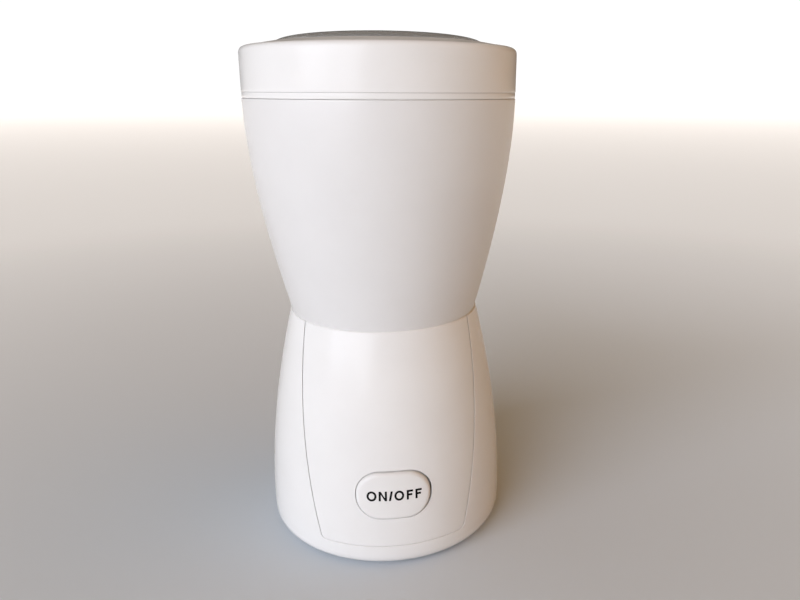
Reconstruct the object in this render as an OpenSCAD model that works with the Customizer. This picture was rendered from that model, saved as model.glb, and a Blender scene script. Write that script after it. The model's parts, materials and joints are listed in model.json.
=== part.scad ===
// Electric spice grinder: white casing with a waist, steel bowl and blade, universal motor,
// lift-off lid with a smoke window, and a push button in the base's front panel.
// Millimetres. Origin on the resting surface, on the shaft's axis; +Z up, the button faces -Y.

/* [Outside] */
// Height of the rubber feet below the casing
foot_h = 1.5; // [1:0.25:2.5]
// Height of the base casing, from its underside to the waist
base_h = 86.1; // [84:0.5:96]
// Height of the upper casing, from the waist to the parting line
upper_h = 76.8; // [74:0.5:86]
// Radius of the lid and of the parting line
lid_r = 48; // [47.5:0.25:50]
// Radius of the base casing's top rim
waist_r = 35.6; // [35:0.1:37]
// Largest radius of the base casing
belly_r = 46.3; // [45:0.1:47.5]
// Height of the largest radius above the casing's underside
belly_z = 12.5; // [10:0.5:16]
// Length over which the flank leaves the vertical above the belly
belly_pull = 30.4; // [24:0.5:36]
// Radius of the casing just above its bottom edge
bottom_r = 45.2; // [44:0.1:46]
// Rounding of the casing's bottom edge
bottom_round = 3.5; // [2:0.25:5]
// Length over which the flare keeps its slope above the waist
flare_pull = 51.4; // [44:0.5:58]
// Wall of both casings
wall = 2.4; // [2:0.1:2.6]
// Rounding of the base casing's top rim
rim_round = 0.7; // [0.4:0.1:1.2]

/* [Front panel] */
// Largest half-width of the panel
panel_w = 31.2; // [29:0.2:32]
// Height of the panel's largest width
panel_mid_z = 58; // [50:0.5:66]
// Radius of the panel's curved sides
panel_side_r = 226; // [200:2:260]
// Height of the panel's lower edge
panel_foot_z = 10; // [8:0.5:12]
// Rounding of the panel's lower corners
panel_corner_r = 2; // [1.5:0.1:3]
// Width of the groove round the panel
groove = 0.4; // [0.3:0.05:0.6]
// Depth of the groove, where the panel laps over its ledge
lap_t = 1.2; // [1:0.1:1.4]
// Width of the ledge behind the panel's edge
lap_w = 2.5; // [2:0.1:3]

/* [Button] */
// Width of the button
button_w = 26.7; // [24:0.1:28]
// Height of the button
button_h = 18.6; // [17:0.1:20]
// Rounding of the button's outline
button_corner_r = 8.8; // [7:0.1:9.2]
// Height of the button's centre
button_z = 29.5; // [28.5:0.25:31]
// How far the button stands out of the panel
button_proud = 0.9; // [0.5:0.1:1.2]
// Travel of the button
button_travel = 2; // [1.5:0.1:2.2]
// Wall of the hollow button
button_wall = 1.8; // [1.4:0.1:2]
// Gap between the button and its opening
button_gap = 0.4; // [0.3:0.05:0.5]
// Wall of the collar that guides the button
collar_t = 1.8; // [1.4:0.1:2]
// Distance from the shaft's axis to the collar's inner end
collar_y = 36.9; // [36.5:0.1:37.5]

/* [Switch] */
// Length of the power switch
switch_l = 20; // [19:0.1:20.6]
// Depth of the power switch, along the button's travel
switch_d = 10.6; // [10:0.1:10.9]
// Thickness of the power switch
switch_t = 6.4; // [6:0.1:7]
// Radius of the switch plunger
plunger_r = 1.5; // [1.2:0.1:1.7]
// Thickness of the switch bracket
switch_plate_t = 1.5; // [1.2:0.1:1.6]
// Distance of the bracket's screws from the middle
switch_screw_x = 19.8; // [19.5:0.1:20.5]

/* [Upper casing and bowl] */
// Height of the motor deck above the waist
deck_rise = 4.4; // [4:0.1:6]
// Thickness of the motor deck
deck_t = 2.5; // [2:0.1:3]
// Outer radius of the column that carries the bowl
column_r = 10.5; // [10:0.1:12]
// Bore of that column
column_bore_r = 8; // [7.5:0.1:8.5]
// Depth of the sleeve that reaches into the base casing
sleeve_h = 7.6; // [5:0.1:9]
// How much narrower the bowl is above its rounded corner than at its mouth
bowl_taper = 6.6; // [6:0.1:8]
// Depth of the bowl, from the parting line to its floor
bowl_depth = 45.6; // [42:0.1:47]
// Height of the bowl's rounded corner
bowl_corner_h = 7.2; // [6:0.1:9]
// Sheet of the bowl
bowl_t = 0.8; // [0.6:0.1:1]
// Width of the bowl's flange
flange_w = 3.6; // [3.4:0.1:4]
// Thickness of the gasket under the bowl's flange
gasket_t = 1.4; // [1:0.1:1.8]
// Height of the ring that holds the bowl
ring_h = 1.5; // [1.2:0.1:2]
// Wall of the ring's spigot, inside the upper casing
spigot_t = 1.9; // [1.6:0.1:2.1]
// How far the ring stands back from the lid
ring_step = 0.3; // [0.2:0.05:0.5]

/* [Lid] */
// Height of the lid's upright wall
lid_wall_h = 13.3; // [12:0.1:18]
// Rise of the lid from its shoulder to the window
roof_rise = 3.2; // [2.4:0.1:4]
// Rise of the window's dome
dome_rise = 2.8; // [1.5:0.1:4]
// Wall of the lid
lid_t = 2; // [1.6:0.1:2.2]
// Width of the white roof between the lid's wall and the window
roof_w = 11.5; // [11.2:0.1:14]
// Thickness of the window and of its liner
window_t = 1.6; // [1.2:0.1:1.8]
// Width of the rounded shoulder
shoulder_r = 2; // [1.5:0.1:3]
// Gap between lid and ring
seam_gap = 0.3; // [0.3:0.05:0.5]
// Depth that the liner reaches into the bowl
liner_depth = 3.4; // [2:0.1:5]

/* [Lid interlock] */
// Travel of the interlock pin
pin_travel = 3; // [2:0.1:3.2]
// Radius of the interlock pin
pin_r = 1.5; // [1.2:0.1:1.6]
// Distance of the pin's axis inwards from the edge of the bowl's flange
pin_inset = 1.6; // [1.5:0.05:1.8]
// Width of the tab under the lid
tab_w = 7.6; // [6:0.1:9]

/* [Motor] */
// Radius of the motor shaft
shaft_r = 3; // [2.5:0.05:3.2]
// Width of the stator
stator_x = 50; // [48:0.5:51]
// Depth of the stator
stator_y = 46; // [44:0.5:47]
// Height of the stack of sheets
stack_h = 22; // [18:0.5:24]
// Radius of the rotor
rotor_r = 13; // [12:0.1:13.4]
// Air gap between rotor and stator
air_gap = 0.6; // [0.4:0.05:0.8]
// Height of the legs of the upper bracket
upper_leg_h = 18; // [17:0.5:20]
// Height of the legs of the lower bracket
lower_leg_h = 22; // [21:0.5:23]
// Thickness of both motor brackets
bracket_t = 3; // [2.5:0.1:3.5]
// Distance of the motor's long screws from the shaft
motor_screw_x = 21.5; // [21.3:0.1:22]
// Radius of the motor's long screws
motor_screw_r = 2; // [1.5:0.1:2.2]
// Height of the rubber mounts
mount_h = 6.7; // [5:0.1:8]
// Radius of the commutator
commutator_r = 8.5; // [7.5:0.1:9]
// Radius of the cooling fan
fan_r = 17; // [14:0.1:17.2]
// Number of fan vanes
fan_vanes = 10; // [6:1:14]
// Length of each arm of the blade, from the shaft's axis
blade_l = 27; // [22:0.5:28]
// Width of the blade
blade_w = 11; // [9:0.5:12]
// Thickness of the blade
blade_t = 1.5; // [1:0.1:1.8]
// Length of the blade's raised tips
blade_tip = 10.3; // [8:0.1:11]
// Angle at which the steeper tip rises
tip_rise = 24; // [16:1:28]
// Angle at which the flatter tip rises
tip_rise_low = 10; // [6:1:14]

/* [Base plate and inlet] */
// Thickness of the base plate
plate_t = 2.2; // [2:0.1:2.6]
// Distance of the feet from the shaft's axis
foot_d = 32; // [29:0.5:33]
// Radius of a foot
foot_r = 5.5; // [5:0.1:6.5]
// Distance of the base plate's screws from the shaft's axis
base_screw_d = 35.5; // [34.5:0.1:35.8]
// Radius of the cord opening in the gland
cord_r = 3.6; // [3:0.1:4]
// Height of the cord inlet
inlet_z = 15; // [14:0.25:18]

/* [Hidden] */

$fn = 96;
far = 60;      // beyond the casing in any direction
cut = 1;       // overshoot of a cutting shape
fit = 0.1;     // gap between fixed parts that fit together
rest_gap = 0.3; // gap between parts that move apart
run_gap = 0.05; // radial running clearance of a shaft or pin

white = [0.95, 0.94, 0.93];
satin_white = [0.88, 0.87, 0.87];
steel = [0.75, 0.76, 0.78];
dark_steel = [0.42, 0.43, 0.46];
copper = [0.72, 0.42, 0.22];
brass = [0.8, 0.66, 0.35];
black = [0.12, 0.12, 0.13];
smoke = [0.35, 0.36, 0.38, 0.6];

// Levels of the outside
z_bottom = foot_h;
z_belly = z_bottom + belly_z;
z_waist = z_bottom + base_h;
z_seam = z_waist + upper_h;
z_ring = z_seam + ring_h;
z_lid = z_ring + seam_gap;
z_shoulder = z_lid + lid_wall_h;
z_roof = z_shoulder + roof_rise;
z_top = z_roof + dome_rise;
ring_r = lid_r - ring_step;
neck_r = waist_r - rim_round; // the upper casing starts inside the rim of the base

// Radii of the top, from the lid's inwards
spigot_r = lid_r - wall - rest_gap;
flange_fit = 0.2;
flange_r = spigot_r - spigot_t - flange_fit;
bowl_mouth_r = flange_r - flange_w;
bowl_floor_r = bowl_mouth_r - bowl_taper;
window_r = lid_r - roof_w;

// Base plate
plate_r = bottom_r - bottom_round - 1.1;
z_plate = z_bottom + plate_t;
well_h = 4.2;
screw_r = 1.5;
screw_head_r = 3;
well_r = screw_head_r + 1.6;
boss_h = 12;
base_screw_angles = [20, 160, 200, 340];
foot_angles = [45, 135, 225, 315];

// Motor levels, from the deck downwards
z_deck = z_waist + deck_rise;
z_upper_bracket = z_deck - mount_h - bracket_t;
z_core_top = z_upper_bracket - upper_leg_h;
z_core = z_core_top - stack_h;
z_lower_bracket = z_core - lower_leg_h - bracket_t;
bearing_r = 5.5;
bearing_boss_r = 8;
upper_boss_h = 8;
lower_boss_h = 7;
z_lower_boss = z_lower_bracket + bracket_t - lower_boss_h;
leg_r = 4;
slot_x = 9.7;
coil_t = 5.3;
coil_y = rotor_r + 1.2;
coil_d = 4.4;
coil_end = 5.5;
z_commutator = z_core - 16.8;
commutator_h = 9;
z_brush = z_commutator + commutator_h / 2;
brush_x = 5;
brush_z = 5;
brush_l = 6.5;
holder_t = 0.9;
holder_start = commutator_r + 2;
holder_end = 19.5;
seat_y = 14;            // start of the posts under the brush holders
winding_h = 6;
z_fan = z_upper_bracket - 9.8;
fan_h = 8;
fan_disc_t = 1.2;
fan_hub_r = 6.5;
washer_r = 5;
washer_t = 1;
screw_reach = 8;        // of the motor's long screws above the deck's underside
socket_wall = 2.5;
wire_hole_x = 8;
wire_hole_y = 26;
wire_hole_r = 2.6;

// Bowl, seal and blade
z_floor = z_seam - bowl_depth;      // top face of the bowl's floor
z_flange = z_seam - 0.2 - bowl_t;   // underside of the flange
z_shelf = z_flange - gasket_t;
shelf_t = 2;
shelf_r = bowl_mouth_r + bowl_t + 0.5;
seal_r = column_bore_r - fit;
seal_neck_r = 5;
seal_h = 6;
seal_lip_h = 1.4;
nut_r = 5.8;
z_hub = z_floor + 2;
hub_h = 3.2;
hub_r = 6;
z_blade = z_hub + hub_h;
z_nut = z_blade + blade_t;
nut_h = 5.5;
shaft_top = z_nut + 3.5;

// Button and switch, distances from the shaft's axis towards the front
button_flange_t = 1.2;
y_flange = -collar_y + rest_gap;
y_bracket = y_flange + button_flange_t + button_travel + 0.5;
y_switch = y_bracket + switch_plate_t;
plunger_out = button_travel + 0.5;
y_plunger = y_switch - plunger_out;
stem_r = 2.2;
y_stem = y_plunger - rest_gap;
bracket_hole_r = 2.9;
bracket_end = 3.6;      // from a screw to the end of the switch bracket
bracket_h = 14;
bracket_corner_r = 3;
shelf_l = 18;
shelf_d = 8.5;
switch_shelf_t = 1.4;
switch_screw_l = 4.5;
switch_head_r = 2.8;
switch_head_t = 1.6;
terminal_y = 5;         // from the switch's front face to a terminal
terminal_l = 4.5;
terminal_w = 4.2;
terminal_t = 0.8;
plunger_l = 7;
driver_slot = 0.8;      // width of a screwdriver slot
post_r = 3;

// Interlock, at the rear
pin_head_t = 2.6;
pin_y = flange_r - pin_inset;
tab_y = flange_r + 0.4;
tab_t = 1.3;
slot_w = tab_w + 1;
guide_h = 3.5;
micro_h = 6.5;
micro_w = 12.8;
micro_t = 5;
micro_pin_l = 3;
micro_pin_x = 4;
bracket_d = 3.6;        // depth of the interlock bracket's cheeks
bracket_reach = 1.5;    // of the cheeks below the switch
z_pin_head = z_shelf - shelf_t - 1 - pin_travel - pin_head_t;
z_tab = z_pin_head + pin_head_t + rest_gap;
z_guide = z_pin_head - 7.4;
z_pin = z_guide - pin_travel;
z_micro = z_pin - 0.5 - micro_h;
cheek_t = 1.6;
cheek_x = micro_w / 2 + 0.2;
y_micro = sqrt(pow(flare_r(z_micro) - wall - fit, 2) - pow(micro_w / 2, 2)) - micro_t;
y_cheek = y_micro + 0.6;

// Cord inlet
pad_r = 8.5;
y_pad = max(belly_r, bottom_r) + 0.1;
pad_inset = 1.5;        // how far the pad stands inside the wall
y_pad_in = belly_r - wall - pad_inset;
gland_r = 5.4;
gland_flange_r = 7;
gland_flange_t = 1.4;

// Terminal block, on the base plate
block_w = 20;
block_d = 8;
block_h = 10;
block_y = 27;

// Radius of the upper casing at a height
function flare_r(z) =
    let (k = upper_h - 2 * flare_pull, t = (sqrt(pow(flare_pull, 2) + k * (z - z_waist)) - flare_pull) / k)
    neck_r * pow(1 - t, 2) + lid_r * (1 - pow(1 - t, 2));
// Points of a curve from a to c that leaves a towards b and reaches c from b
function bend(a, b, c, n) =
    [for (i = [0:n]) let (t = i / n) (1 - t) * (1 - t) * a + 2 * t * (1 - t) * b + t * t * c];
// Points of an arc round a centre
function arc(centre, r, from, to, n) =
    [for (i = [0:n]) let (a = from + (to - from) * i / n) centre + r * [cos(a), sin(a)]];
// The same outline, moved inwards by d
function inset(points, d) = [for (p = points) [p[0] - d, p[1]]];

belly_line = bend([bottom_r, z_bottom + bottom_round],
    [belly_r, (z_belly + z_bottom + bottom_round) / 2], [belly_r, z_belly], 5);
flank_line = bend([belly_r, z_belly], [belly_r, z_belly + belly_pull],
    [waist_r, z_waist - rim_round], 12);
base_side = concat(belly_line, [for (i = [1:12]) flank_line[i]]);
upper_side = bend([neck_r, z_waist], [lid_r, z_waist + flare_pull], [lid_r, z_seam], 14);

// Half-width of the front panel at a height
function panel_half(z, d) =
    panel_w - d - panel_side_r + sqrt(pow(panel_side_r, 2) - pow(z - panel_mid_z, 2));

// ---------- shared shapes ----------

// Extrudes an x-z outline from y0 to y1
module along_y(y0, y1) {
    rotate([90, 0, 0]) translate([0, 0, -y1]) linear_extrude(y1 - y0) children();
}

module rounded_rect(w, h, corner) {
    r = min(corner, min(w, h) * 0.49);
    square([w - 2 * r, h], center = true);
    square([w, h - 2 * r], center = true);
    for (x = [-1, 1], y = [-1, 1]) translate([x * (w / 2 - r), y * (h / 2 - r)]) circle(r);
}

module tube(r_out, r_in, z0, z1) {
    translate([0, 0, z0]) difference() {
        cylinder(r = r_out, h = z1 - z0);
        translate([0, 0, -cut]) cylinder(r = r_in, h = z1 - z0 + 2 * cut);
    }
}

module rod(r, z0, z1) {
    translate([0, 0, z0]) cylinder(r = r, h = z1 - z0);
}

// A round wire along a path; ref is a direction that the path never follows
module sweep(path, r, ref, sides = 6) {
    last = len(path) - 1;
    function unit(v) = v / norm(v);
    function heading(i) = unit(path[min(i + 1, last)] - path[max(i - 1, 0)]);
    function side_a(i) = unit(cross(ref, heading(i)));
    function side_b(i) = cross(heading(i), side_a(i));
    points = [for (i = [0:last], j = [0:sides - 1])
        path[i] + r * (cos(360 * j / sides) * side_a(i) + sin(360 * j / sides) * side_b(i))];
    skin = [for (i = [0:last - 1], j = [0:sides - 1], half = [0, 1]) let (k = (j + 1) % sides)
        half == 0 ? [i * sides + j, (i + 1) * sides + j, (i + 1) * sides + k]
            : [i * sides + j, (i + 1) * sides + k, i * sides + k]];
    first_cap = [for (j = [0:sides - 1]) j];
    last_cap = [for (j = [sides - 1:-1:0]) last * sides + j];
    polyhedron(points, concat([first_cap], skin, [last_cap]), convexity = 8);
}

// A coil spring standing on z = 0
module coil_spring(r, wire_r, h, turns) {
    steps = round(turns * 14);
    rise = h - 2 * wire_r;
    path = [for (i = [0:steps]) let (a = 360 * turns * i / steps)
        [r * cos(a), r * sin(a), wire_r + rise * i / steps]];
    sweep(path, wire_r, [0, 0, 1]);
}

// A smooth path through the middles of a chain of points
function smooth(p) = concat([p[0]],
    [for (i = [1:len(p) - 2], s = bend((p[i - 1] + p[i]) / 2, p[i], (p[i] + p[i + 1]) / 2, 3)) s],
    [p[len(p) - 1]]);
function without_doubles(p) = [for (i = [0:len(p) - 1]) if (i == 0 || norm(p[i] - p[i - 1]) > 0.2) p[i]];

// ---------- base ----------

// The base casing's outer form, moved inwards by d and open-ended for cutting
module base_core(d) {
    side = inset(base_side, d);
    top = side[len(side) - 1];
    rotate_extrude() polygon(concat([[0, z_bottom - cut], [side[0][0], z_bottom - cut]], side,
        [[top[0], z_waist + cut], [0, z_waist + cut]]));
}

module base_outer() {
    edge = arc([bottom_r - bottom_round, z_bottom + bottom_round], bottom_round, -90, 0, 5);
    rim = arc([waist_r - rim_round, z_waist - rim_round], rim_round, 0, 90, 4);
    side = [for (i = [1:len(base_side) - 2]) base_side[i]];
    rotate_extrude() polygon(concat([[0, z_bottom]], edge, side, rim, [[0, z_waist]]));
}

// The space inside the base: the base plate's seat, then the wall's inner face
module base_cavity() {
    seat_r = plate_r + rest_gap;
    side = inset(base_side, wall);
    top = side[len(side) - 1];
    rotate_extrude() polygon(concat(
        [[0, z_bottom - cut], [seat_r, z_bottom - cut], [seat_r, z_plate + 0.5], [side[0][0], z_plate + 0.5]],
        side, [[top[0], z_waist + cut], [0, z_waist + cut]]));
}

// Both curved sides of the panel in x-z, drawn in by d, from a height up past the rim
module panel_sides(d, foot) {
    shift = panel_side_r - panel_w + d;
    intersection() {
        translate([-shift, panel_mid_z]) circle(panel_side_r, $fn = 360);
        translate([shift, panel_mid_z]) circle(panel_side_r, $fn = 360);
        translate([-far, foot]) square([2 * far, z_waist + 2 * cut - foot]);
    }
}

// The panel's outline with its rounded lower corners, drawn in by d
module panel_prism(d) {
    r = max(panel_corner_r - d, 0.5);
    foot = panel_foot_z + d;
    half = panel_half(foot + r, d);
    along_y(-far, 0) {
        panel_sides(d, foot + r);
        translate([-(half - r), foot]) square([2 * (half - r), r + 0.01]);
        for (x = [-1, 1]) translate([x * (half - r), foot + r]) circle(r);
    }
}

// The opening behind the panel, inside its ledge
module panel_window(d) {
    along_y(-far, -cut) panel_sides(d, panel_foot_z + d);
}

module button_outline(d) {
    translate([0, button_z]) rounded_rect(button_w + 2 * d, button_h + 2 * d, button_corner_r + d);
}

module at_base_screws() {
    for (a = base_screw_angles) rotate([0, 0, a]) translate([base_screw_d, 0, 0]) children();
}

module base_bosses() {
    z0 = z_bottom + well_h;
    reach = belly_r - wall / 2 - base_screw_d; // of the web between a boss and the wall
    at_base_screws() {
        rod(4.2, z0, z0 + boss_h);
        translate([0, -1, z0 + 1]) cube([reach, 2, boss_h - 1]);
    }
}

module base_casing() {
    color(white) difference() {
        union() {
            difference() {
                base_outer();
                base_cavity();
                difference() {
                    panel_prism(0);
                    base_core(lap_t);
                }
                panel_window(lap_w);
            }
            intersection() {
                base_core(wall / 2);
                base_bosses();
            }
            along_y(y_pad_in, y_pad) translate([0, inlet_z]) circle(pad_r);
        }
        at_base_screws() rod(screw_r, z_bottom, z_bottom + well_h + 9);
        along_y(y_pad_in - cut, y_pad + cut) translate([0, inlet_z]) circle(gland_r + fit);
    }
}

module front_panel() {
    post_x = switch_screw_x;
    color(white) difference() {
        union() {
            intersection() {
                difference() {
                    base_outer();
                    base_cavity();
                }
                union() {
                    difference() {
                        panel_prism(groove);
                        base_core(lap_t);
                    }
                    panel_window(lap_w + fit);
                }
            }
            intersection() {
                base_core(wall / 2);
                union() {
                    along_y(-far, -collar_y) button_outline(button_gap + collar_t);
                    for (x = [-1, 1]) along_y(-far, y_bracket)
                        translate([x * post_x, button_z]) circle(post_r);
                }
            }
        }
        along_y(-far, y_bracket) button_outline(button_gap);
        for (x = [-1, 1]) along_y(y_bracket - switch_screw_l - 0.5, y_bracket + cut)
            translate([x * post_x, button_z]) circle(screw_r);
    }
}

module base_plate() {
    color(white) difference() {
        union() {
            rod(plate_r, z_bottom, z_plate);
            at_base_screws() rod(well_r, z_bottom, z_bottom + well_h);
        }
        at_base_screws() {
            rod(screw_head_r + fit, z_bottom - cut, z_bottom + 2.4);
            rod(screw_r + 0.2, z_bottom - cut, z_bottom + well_h + cut);
        }
        for (a = foot_angles) rotate([0, 0, a]) translate([foot_d, 0, 0])
            rod(foot_r + fit, z_bottom - cut, z_bottom + plate_t / 2);
        for (a = [0:30:330]) rotate([0, 0, a]) translate([10, -1.1, z_bottom - cut])
            cube([12, 2.2, plate_t + 2 * cut]);
    }
}

module rubber_feet() {
    color(black) for (a = foot_angles) rotate([0, 0, a]) translate([foot_d, 0, 0])
        rotate_extrude() polygon([[0, 0], [foot_r - 0.6, 0], [foot_r, 0.6], [foot_r, z_bottom + plate_t / 2],
            [0, z_bottom + plate_t / 2]]);
}

module base_screws() {
    color(steel) at_base_screws() difference() {
        union() {
            rod(screw_head_r, z_bottom + 0.4, z_bottom + 2.4);
            rod(screw_r, z_bottom + 2.4, z_bottom + well_h + 8);
        }
        translate([-2, -0.4, z_bottom]) cube([4, 0.8, 1.2]);
        translate([-0.4, -2, z_bottom]) cube([0.8, 4, 1.2]);
    }
}

module cable_gland() {
    y_in = y_pad_in - gland_flange_t;
    color(black) along_gland() difference() {
        union() {
            rod(gland_flange_r, y_pad, y_pad + gland_flange_t);
            rod(gland_r, y_in, y_pad + gland_flange_t);
            rod(gland_flange_r - 0.4, y_in, y_pad_in);
        }
        rod(cord_r, y_in - cut, y_pad + gland_flange_t + cut);
    }
}

// Turns +Z into +Y at the height of the cord inlet
module along_gland() {
    translate([0, 0, inlet_z]) rotate([-90, 0, 0]) children();
}

// ---------- upper casing, bowl and ring ----------

module upper_core(d) {
    side = inset(upper_side, d);
    top = side[len(side) - 1];
    rotate_extrude() polygon(concat([[0, z_waist - cut], [side[0][0], z_waist - cut]], side,
        [[top[0], z_seam + cut], [0, z_seam + cut]]));
}

module at_motor_screws() {
    for (x = [-1, 1]) translate([x * motor_screw_x, 0, 0]) children();
}

module wire_holes() {
    for (x = [-wire_hole_x, wire_hole_x]) translate([x, wire_hole_y, z_deck - cut])
        cylinder(r = wire_hole_r, h = deck_t + 2 * cut);
}

module interlock_ribs() {
    x0 = cheek_x + cheek_t + 0.2;
    for (side = [0, 1]) mirror([side, 0, 0]) translate([x0, y_cheek, z_micro - bracket_reach])
        cube([cheek_t, belly_r - y_cheek, z_guide + guide_h - z_micro + bracket_reach]);
}

module upper_casing() {
    sleeve_r = waist_r - wall - fit;
    color(satin_white) difference() {
        union() {
            rotate_extrude() polygon(concat([[neck_r - wall, z_waist]], upper_side,
                [for (i = [len(upper_side) - 1:-1:0]) upper_side[i] - [wall, 0]]));
            tube(sleeve_r, sleeve_r - 2, z_waist - sleeve_h, z_waist + 1.5);
            intersection() {
                upper_core(wall / 2);
                union() {
                    tube(far, column_bore_r, z_deck, z_deck + deck_t);
                    tube(far, shelf_r, z_shelf - shelf_t, z_shelf);
                    interlock_ribs();
                }
            }
            rod(column_r, z_deck, z_floor - bowl_t);
            at_motor_screws() rod(motor_screw_r + socket_wall, z_deck, z_deck + screw_reach + 4);
        }
        rod(column_bore_r, z_deck - cut, z_floor);
        at_motor_screws() rod(motor_screw_r, z_deck - cut, z_deck + screw_reach + 1);
        wire_holes();
        translate([-slot_w / 2, tab_y - 0.4, z_shelf - shelf_t - cut])
            cube([slot_w, tab_t + 0.6, shelf_t + 2 * cut]);
    }
}

module bowl_ring() {
    color(white) difference() {
        union() {
            tube(ring_r, bowl_mouth_r + 0.4, z_seam, z_ring);
            tube(spigot_r, flange_r + flange_fit, z_shelf + fit, z_seam + 0.5);
        }
        translate([-slot_w / 2, tab_y - 0.4, z_shelf - cut])
            cube([slot_w, tab_t + 0.8, z_ring - z_shelf + 2 * cut]);
    }
}

module grinding_bowl() {
    lip_z = z_flange + bowl_t;
    inner = concat([[bowl_mouth_r, lip_z], [bowl_mouth_r, z_flange - 0.4]],
        bend([bowl_floor_r, z_floor + bowl_corner_h], [bowl_floor_r - 0.6, z_floor],
            [bowl_floor_r - bowl_corner_h, z_floor], 7));
    outer = [for (i = [len(inner) - 1:-1:2]) inner[i] + (i > 5 ? [0, -bowl_t] : [bowl_t, -bowl_t / 2])];
    color(steel) rotate_extrude() polygon(concat(inner, [[seal_neck_r + fit, z_floor],
        [seal_neck_r + fit, z_floor - bowl_t]], outer,
        [[bowl_mouth_r + bowl_t, z_flange - 0.4], [bowl_mouth_r + bowl_t, z_flange],
        [flange_r, z_flange], [flange_r, lip_z]]));
}

module bowl_gasket() {
    color(black) tube(flange_r - 0.1, shelf_r + 0.1, z_shelf, z_flange);
}

module shaft_seal() {
    color(black) difference() {
        union() {
            rod(seal_r, z_floor - bowl_t - seal_h, z_floor - bowl_t);
            rod(seal_neck_r, z_floor - bowl_t, z_floor + seal_lip_h);
        }
        rod(shaft_r + rest_gap, z_floor - bowl_t - seal_h - cut, z_floor + seal_lip_h + cut);
    }
}

// ---------- motor, fixed parts ----------

module stator_core() {
    color(dark_steel) translate([0, 0, z_core]) linear_extrude(stack_h) difference() {
        rounded_rect(stator_x, stator_y, 6);
        circle(rotor_r + air_gap);
        for (x = [0, 1], y = [0, 1]) mirror([x, 0]) mirror([0, y]) translate([slot_x, 8])
            square([coil_t + 0.9, coil_y + coil_d + 0.4 - 8]);
        for (x = [-1, 1]) translate([x * motor_screw_x, 0]) circle(motor_screw_r + fit);
    }
}

module field_coils() {
    window_x = slot_x + rest_gap;
    outer_w = 2 * (window_x + coil_t);
    color(copper) for (side = [0, 1]) mirror([0, side, 0]) along_y(coil_y, coil_y + coil_d)
        translate([0, z_core + stack_h / 2]) difference() {
            rounded_rect(outer_w, stack_h + 2 * coil_end + 0.6, 4);
            square([2 * window_x, stack_h + 0.6], center = true);
        }
}

// One motor bracket: a bar with a bearing boss and two legs
module bracket(z_bar, z_leg0, z_leg1, z_boss0, z_boss1) {
    difference() {
        union() {
            translate([0, 0, z_bar]) linear_extrude(bracket_t)
                rounded_rect(2 * (motor_screw_x + leg_r), 16, 7.5);
            at_motor_screws() rod(leg_r, z_leg0, z_leg1);
            rod(bearing_boss_r, z_boss0, z_boss1);
            children();
        }
        rod(bearing_r, z_boss0 - cut, z_boss1 + cut);
        at_motor_screws() rod(motor_screw_r + fit, z_bar - far, z_bar + far);
    }
}

module upper_bracket() {
    z1 = z_upper_bracket + bracket_t;
    color(steel) bracket(z_upper_bracket, z_core_top, z1, z_upper_bracket, z_upper_bracket + upper_boss_h);
}

module lower_bracket() {
    z1 = z_lower_bracket + bracket_t;
    seat = z_brush - brush_z / 2 - fit - holder_t;
    color(steel) bracket(z_lower_bracket, z_lower_bracket, z_core, z_lower_boss, z1) {
        translate([0, 0, z_lower_bracket]) linear_extrude(bracket_t)
            rounded_rect(9, 2 * holder_end, 2);
        for (a = [0, 180]) rotate([0, 0, a]) translate([-brush_x / 2, seat_y, z1 - 0.5])
            cube([brush_x, holder_end - 0.5 - seat_y, seat - z1 + 0.5]);
    }
}

module upper_bearing() {
    color(brass) tube(bearing_r, shaft_r + run_gap, z_upper_bracket, z_upper_bracket + upper_boss_h);
}

module lower_bearing() {
    color(brass) tube(bearing_r, shaft_r + run_gap, z_lower_boss, z_lower_boss + lower_boss_h);
}

module brush_holders() {
    inner_x = brush_x + 2 * fit;
    inner_z = brush_z + 2 * fit;
    color(brass) for (side = [0, 1]) mirror([0, side, 0]) translate([0, 0, z_brush]) difference() {
        translate([-inner_x / 2 - holder_t, holder_start, -inner_z / 2 - holder_t])
            cube([inner_x + 2 * holder_t, holder_end - holder_start, inner_z + 2 * holder_t]);
        translate([-inner_x / 2, holder_start - cut, -inner_z / 2])
            cube([inner_x, holder_end - holder_start - holder_t + cut, inner_z]);
    }
}

module carbon_brushes() {
    start = commutator_r + rest_gap;
    color(black) for (side = [0, 1]) mirror([0, side, 0]) difference() {
        translate([-brush_x / 2, commutator_r - 2, z_brush - brush_z / 2])
            cube([brush_x, brush_l + 2, brush_z]);
        rod(start, z_brush - brush_z, z_brush + brush_z);
    }
}

module brush_springs() {
    y0 = commutator_r + brush_l;
    length = holder_end - holder_t - y0;
    color(steel) for (a = [0, 180]) rotate([0, 0, a])
        translate([0, y0, z_brush]) rotate([-90, 0, 0]) coil_spring(1.8, 0.25, length, 3);
}

module motor_screws() {
    color(steel) at_motor_screws() {
        rod(motor_screw_r, z_lower_bracket, z_deck + screw_reach);
        difference() {
            rod(motor_screw_r + 1.6, z_lower_bracket - 2.4, z_lower_bracket);
            translate([-2.5, -0.5, z_lower_bracket - 3]) cube([5, 1, 1.8]);
        }
    }
}

module motor_mounts() {
    z0 = z_upper_bracket + bracket_t;
    hole = motor_screw_r + fit;
    color(black) at_motor_screws() rotate_extrude() polygon([[hole, z0], [5.5, z0], [5.5, z0 + 2],
        [4.5, z0 + 2.8], [4.5, z_deck - 2.8], [5.5, z_deck - 2], [5.5, z_deck], [hole, z_deck]]);
}

// ---------- rotor ----------

module motor_shaft() {
    color(steel) rod(shaft_r, z_lower_boss - 0.7, shaft_top);
}

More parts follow.
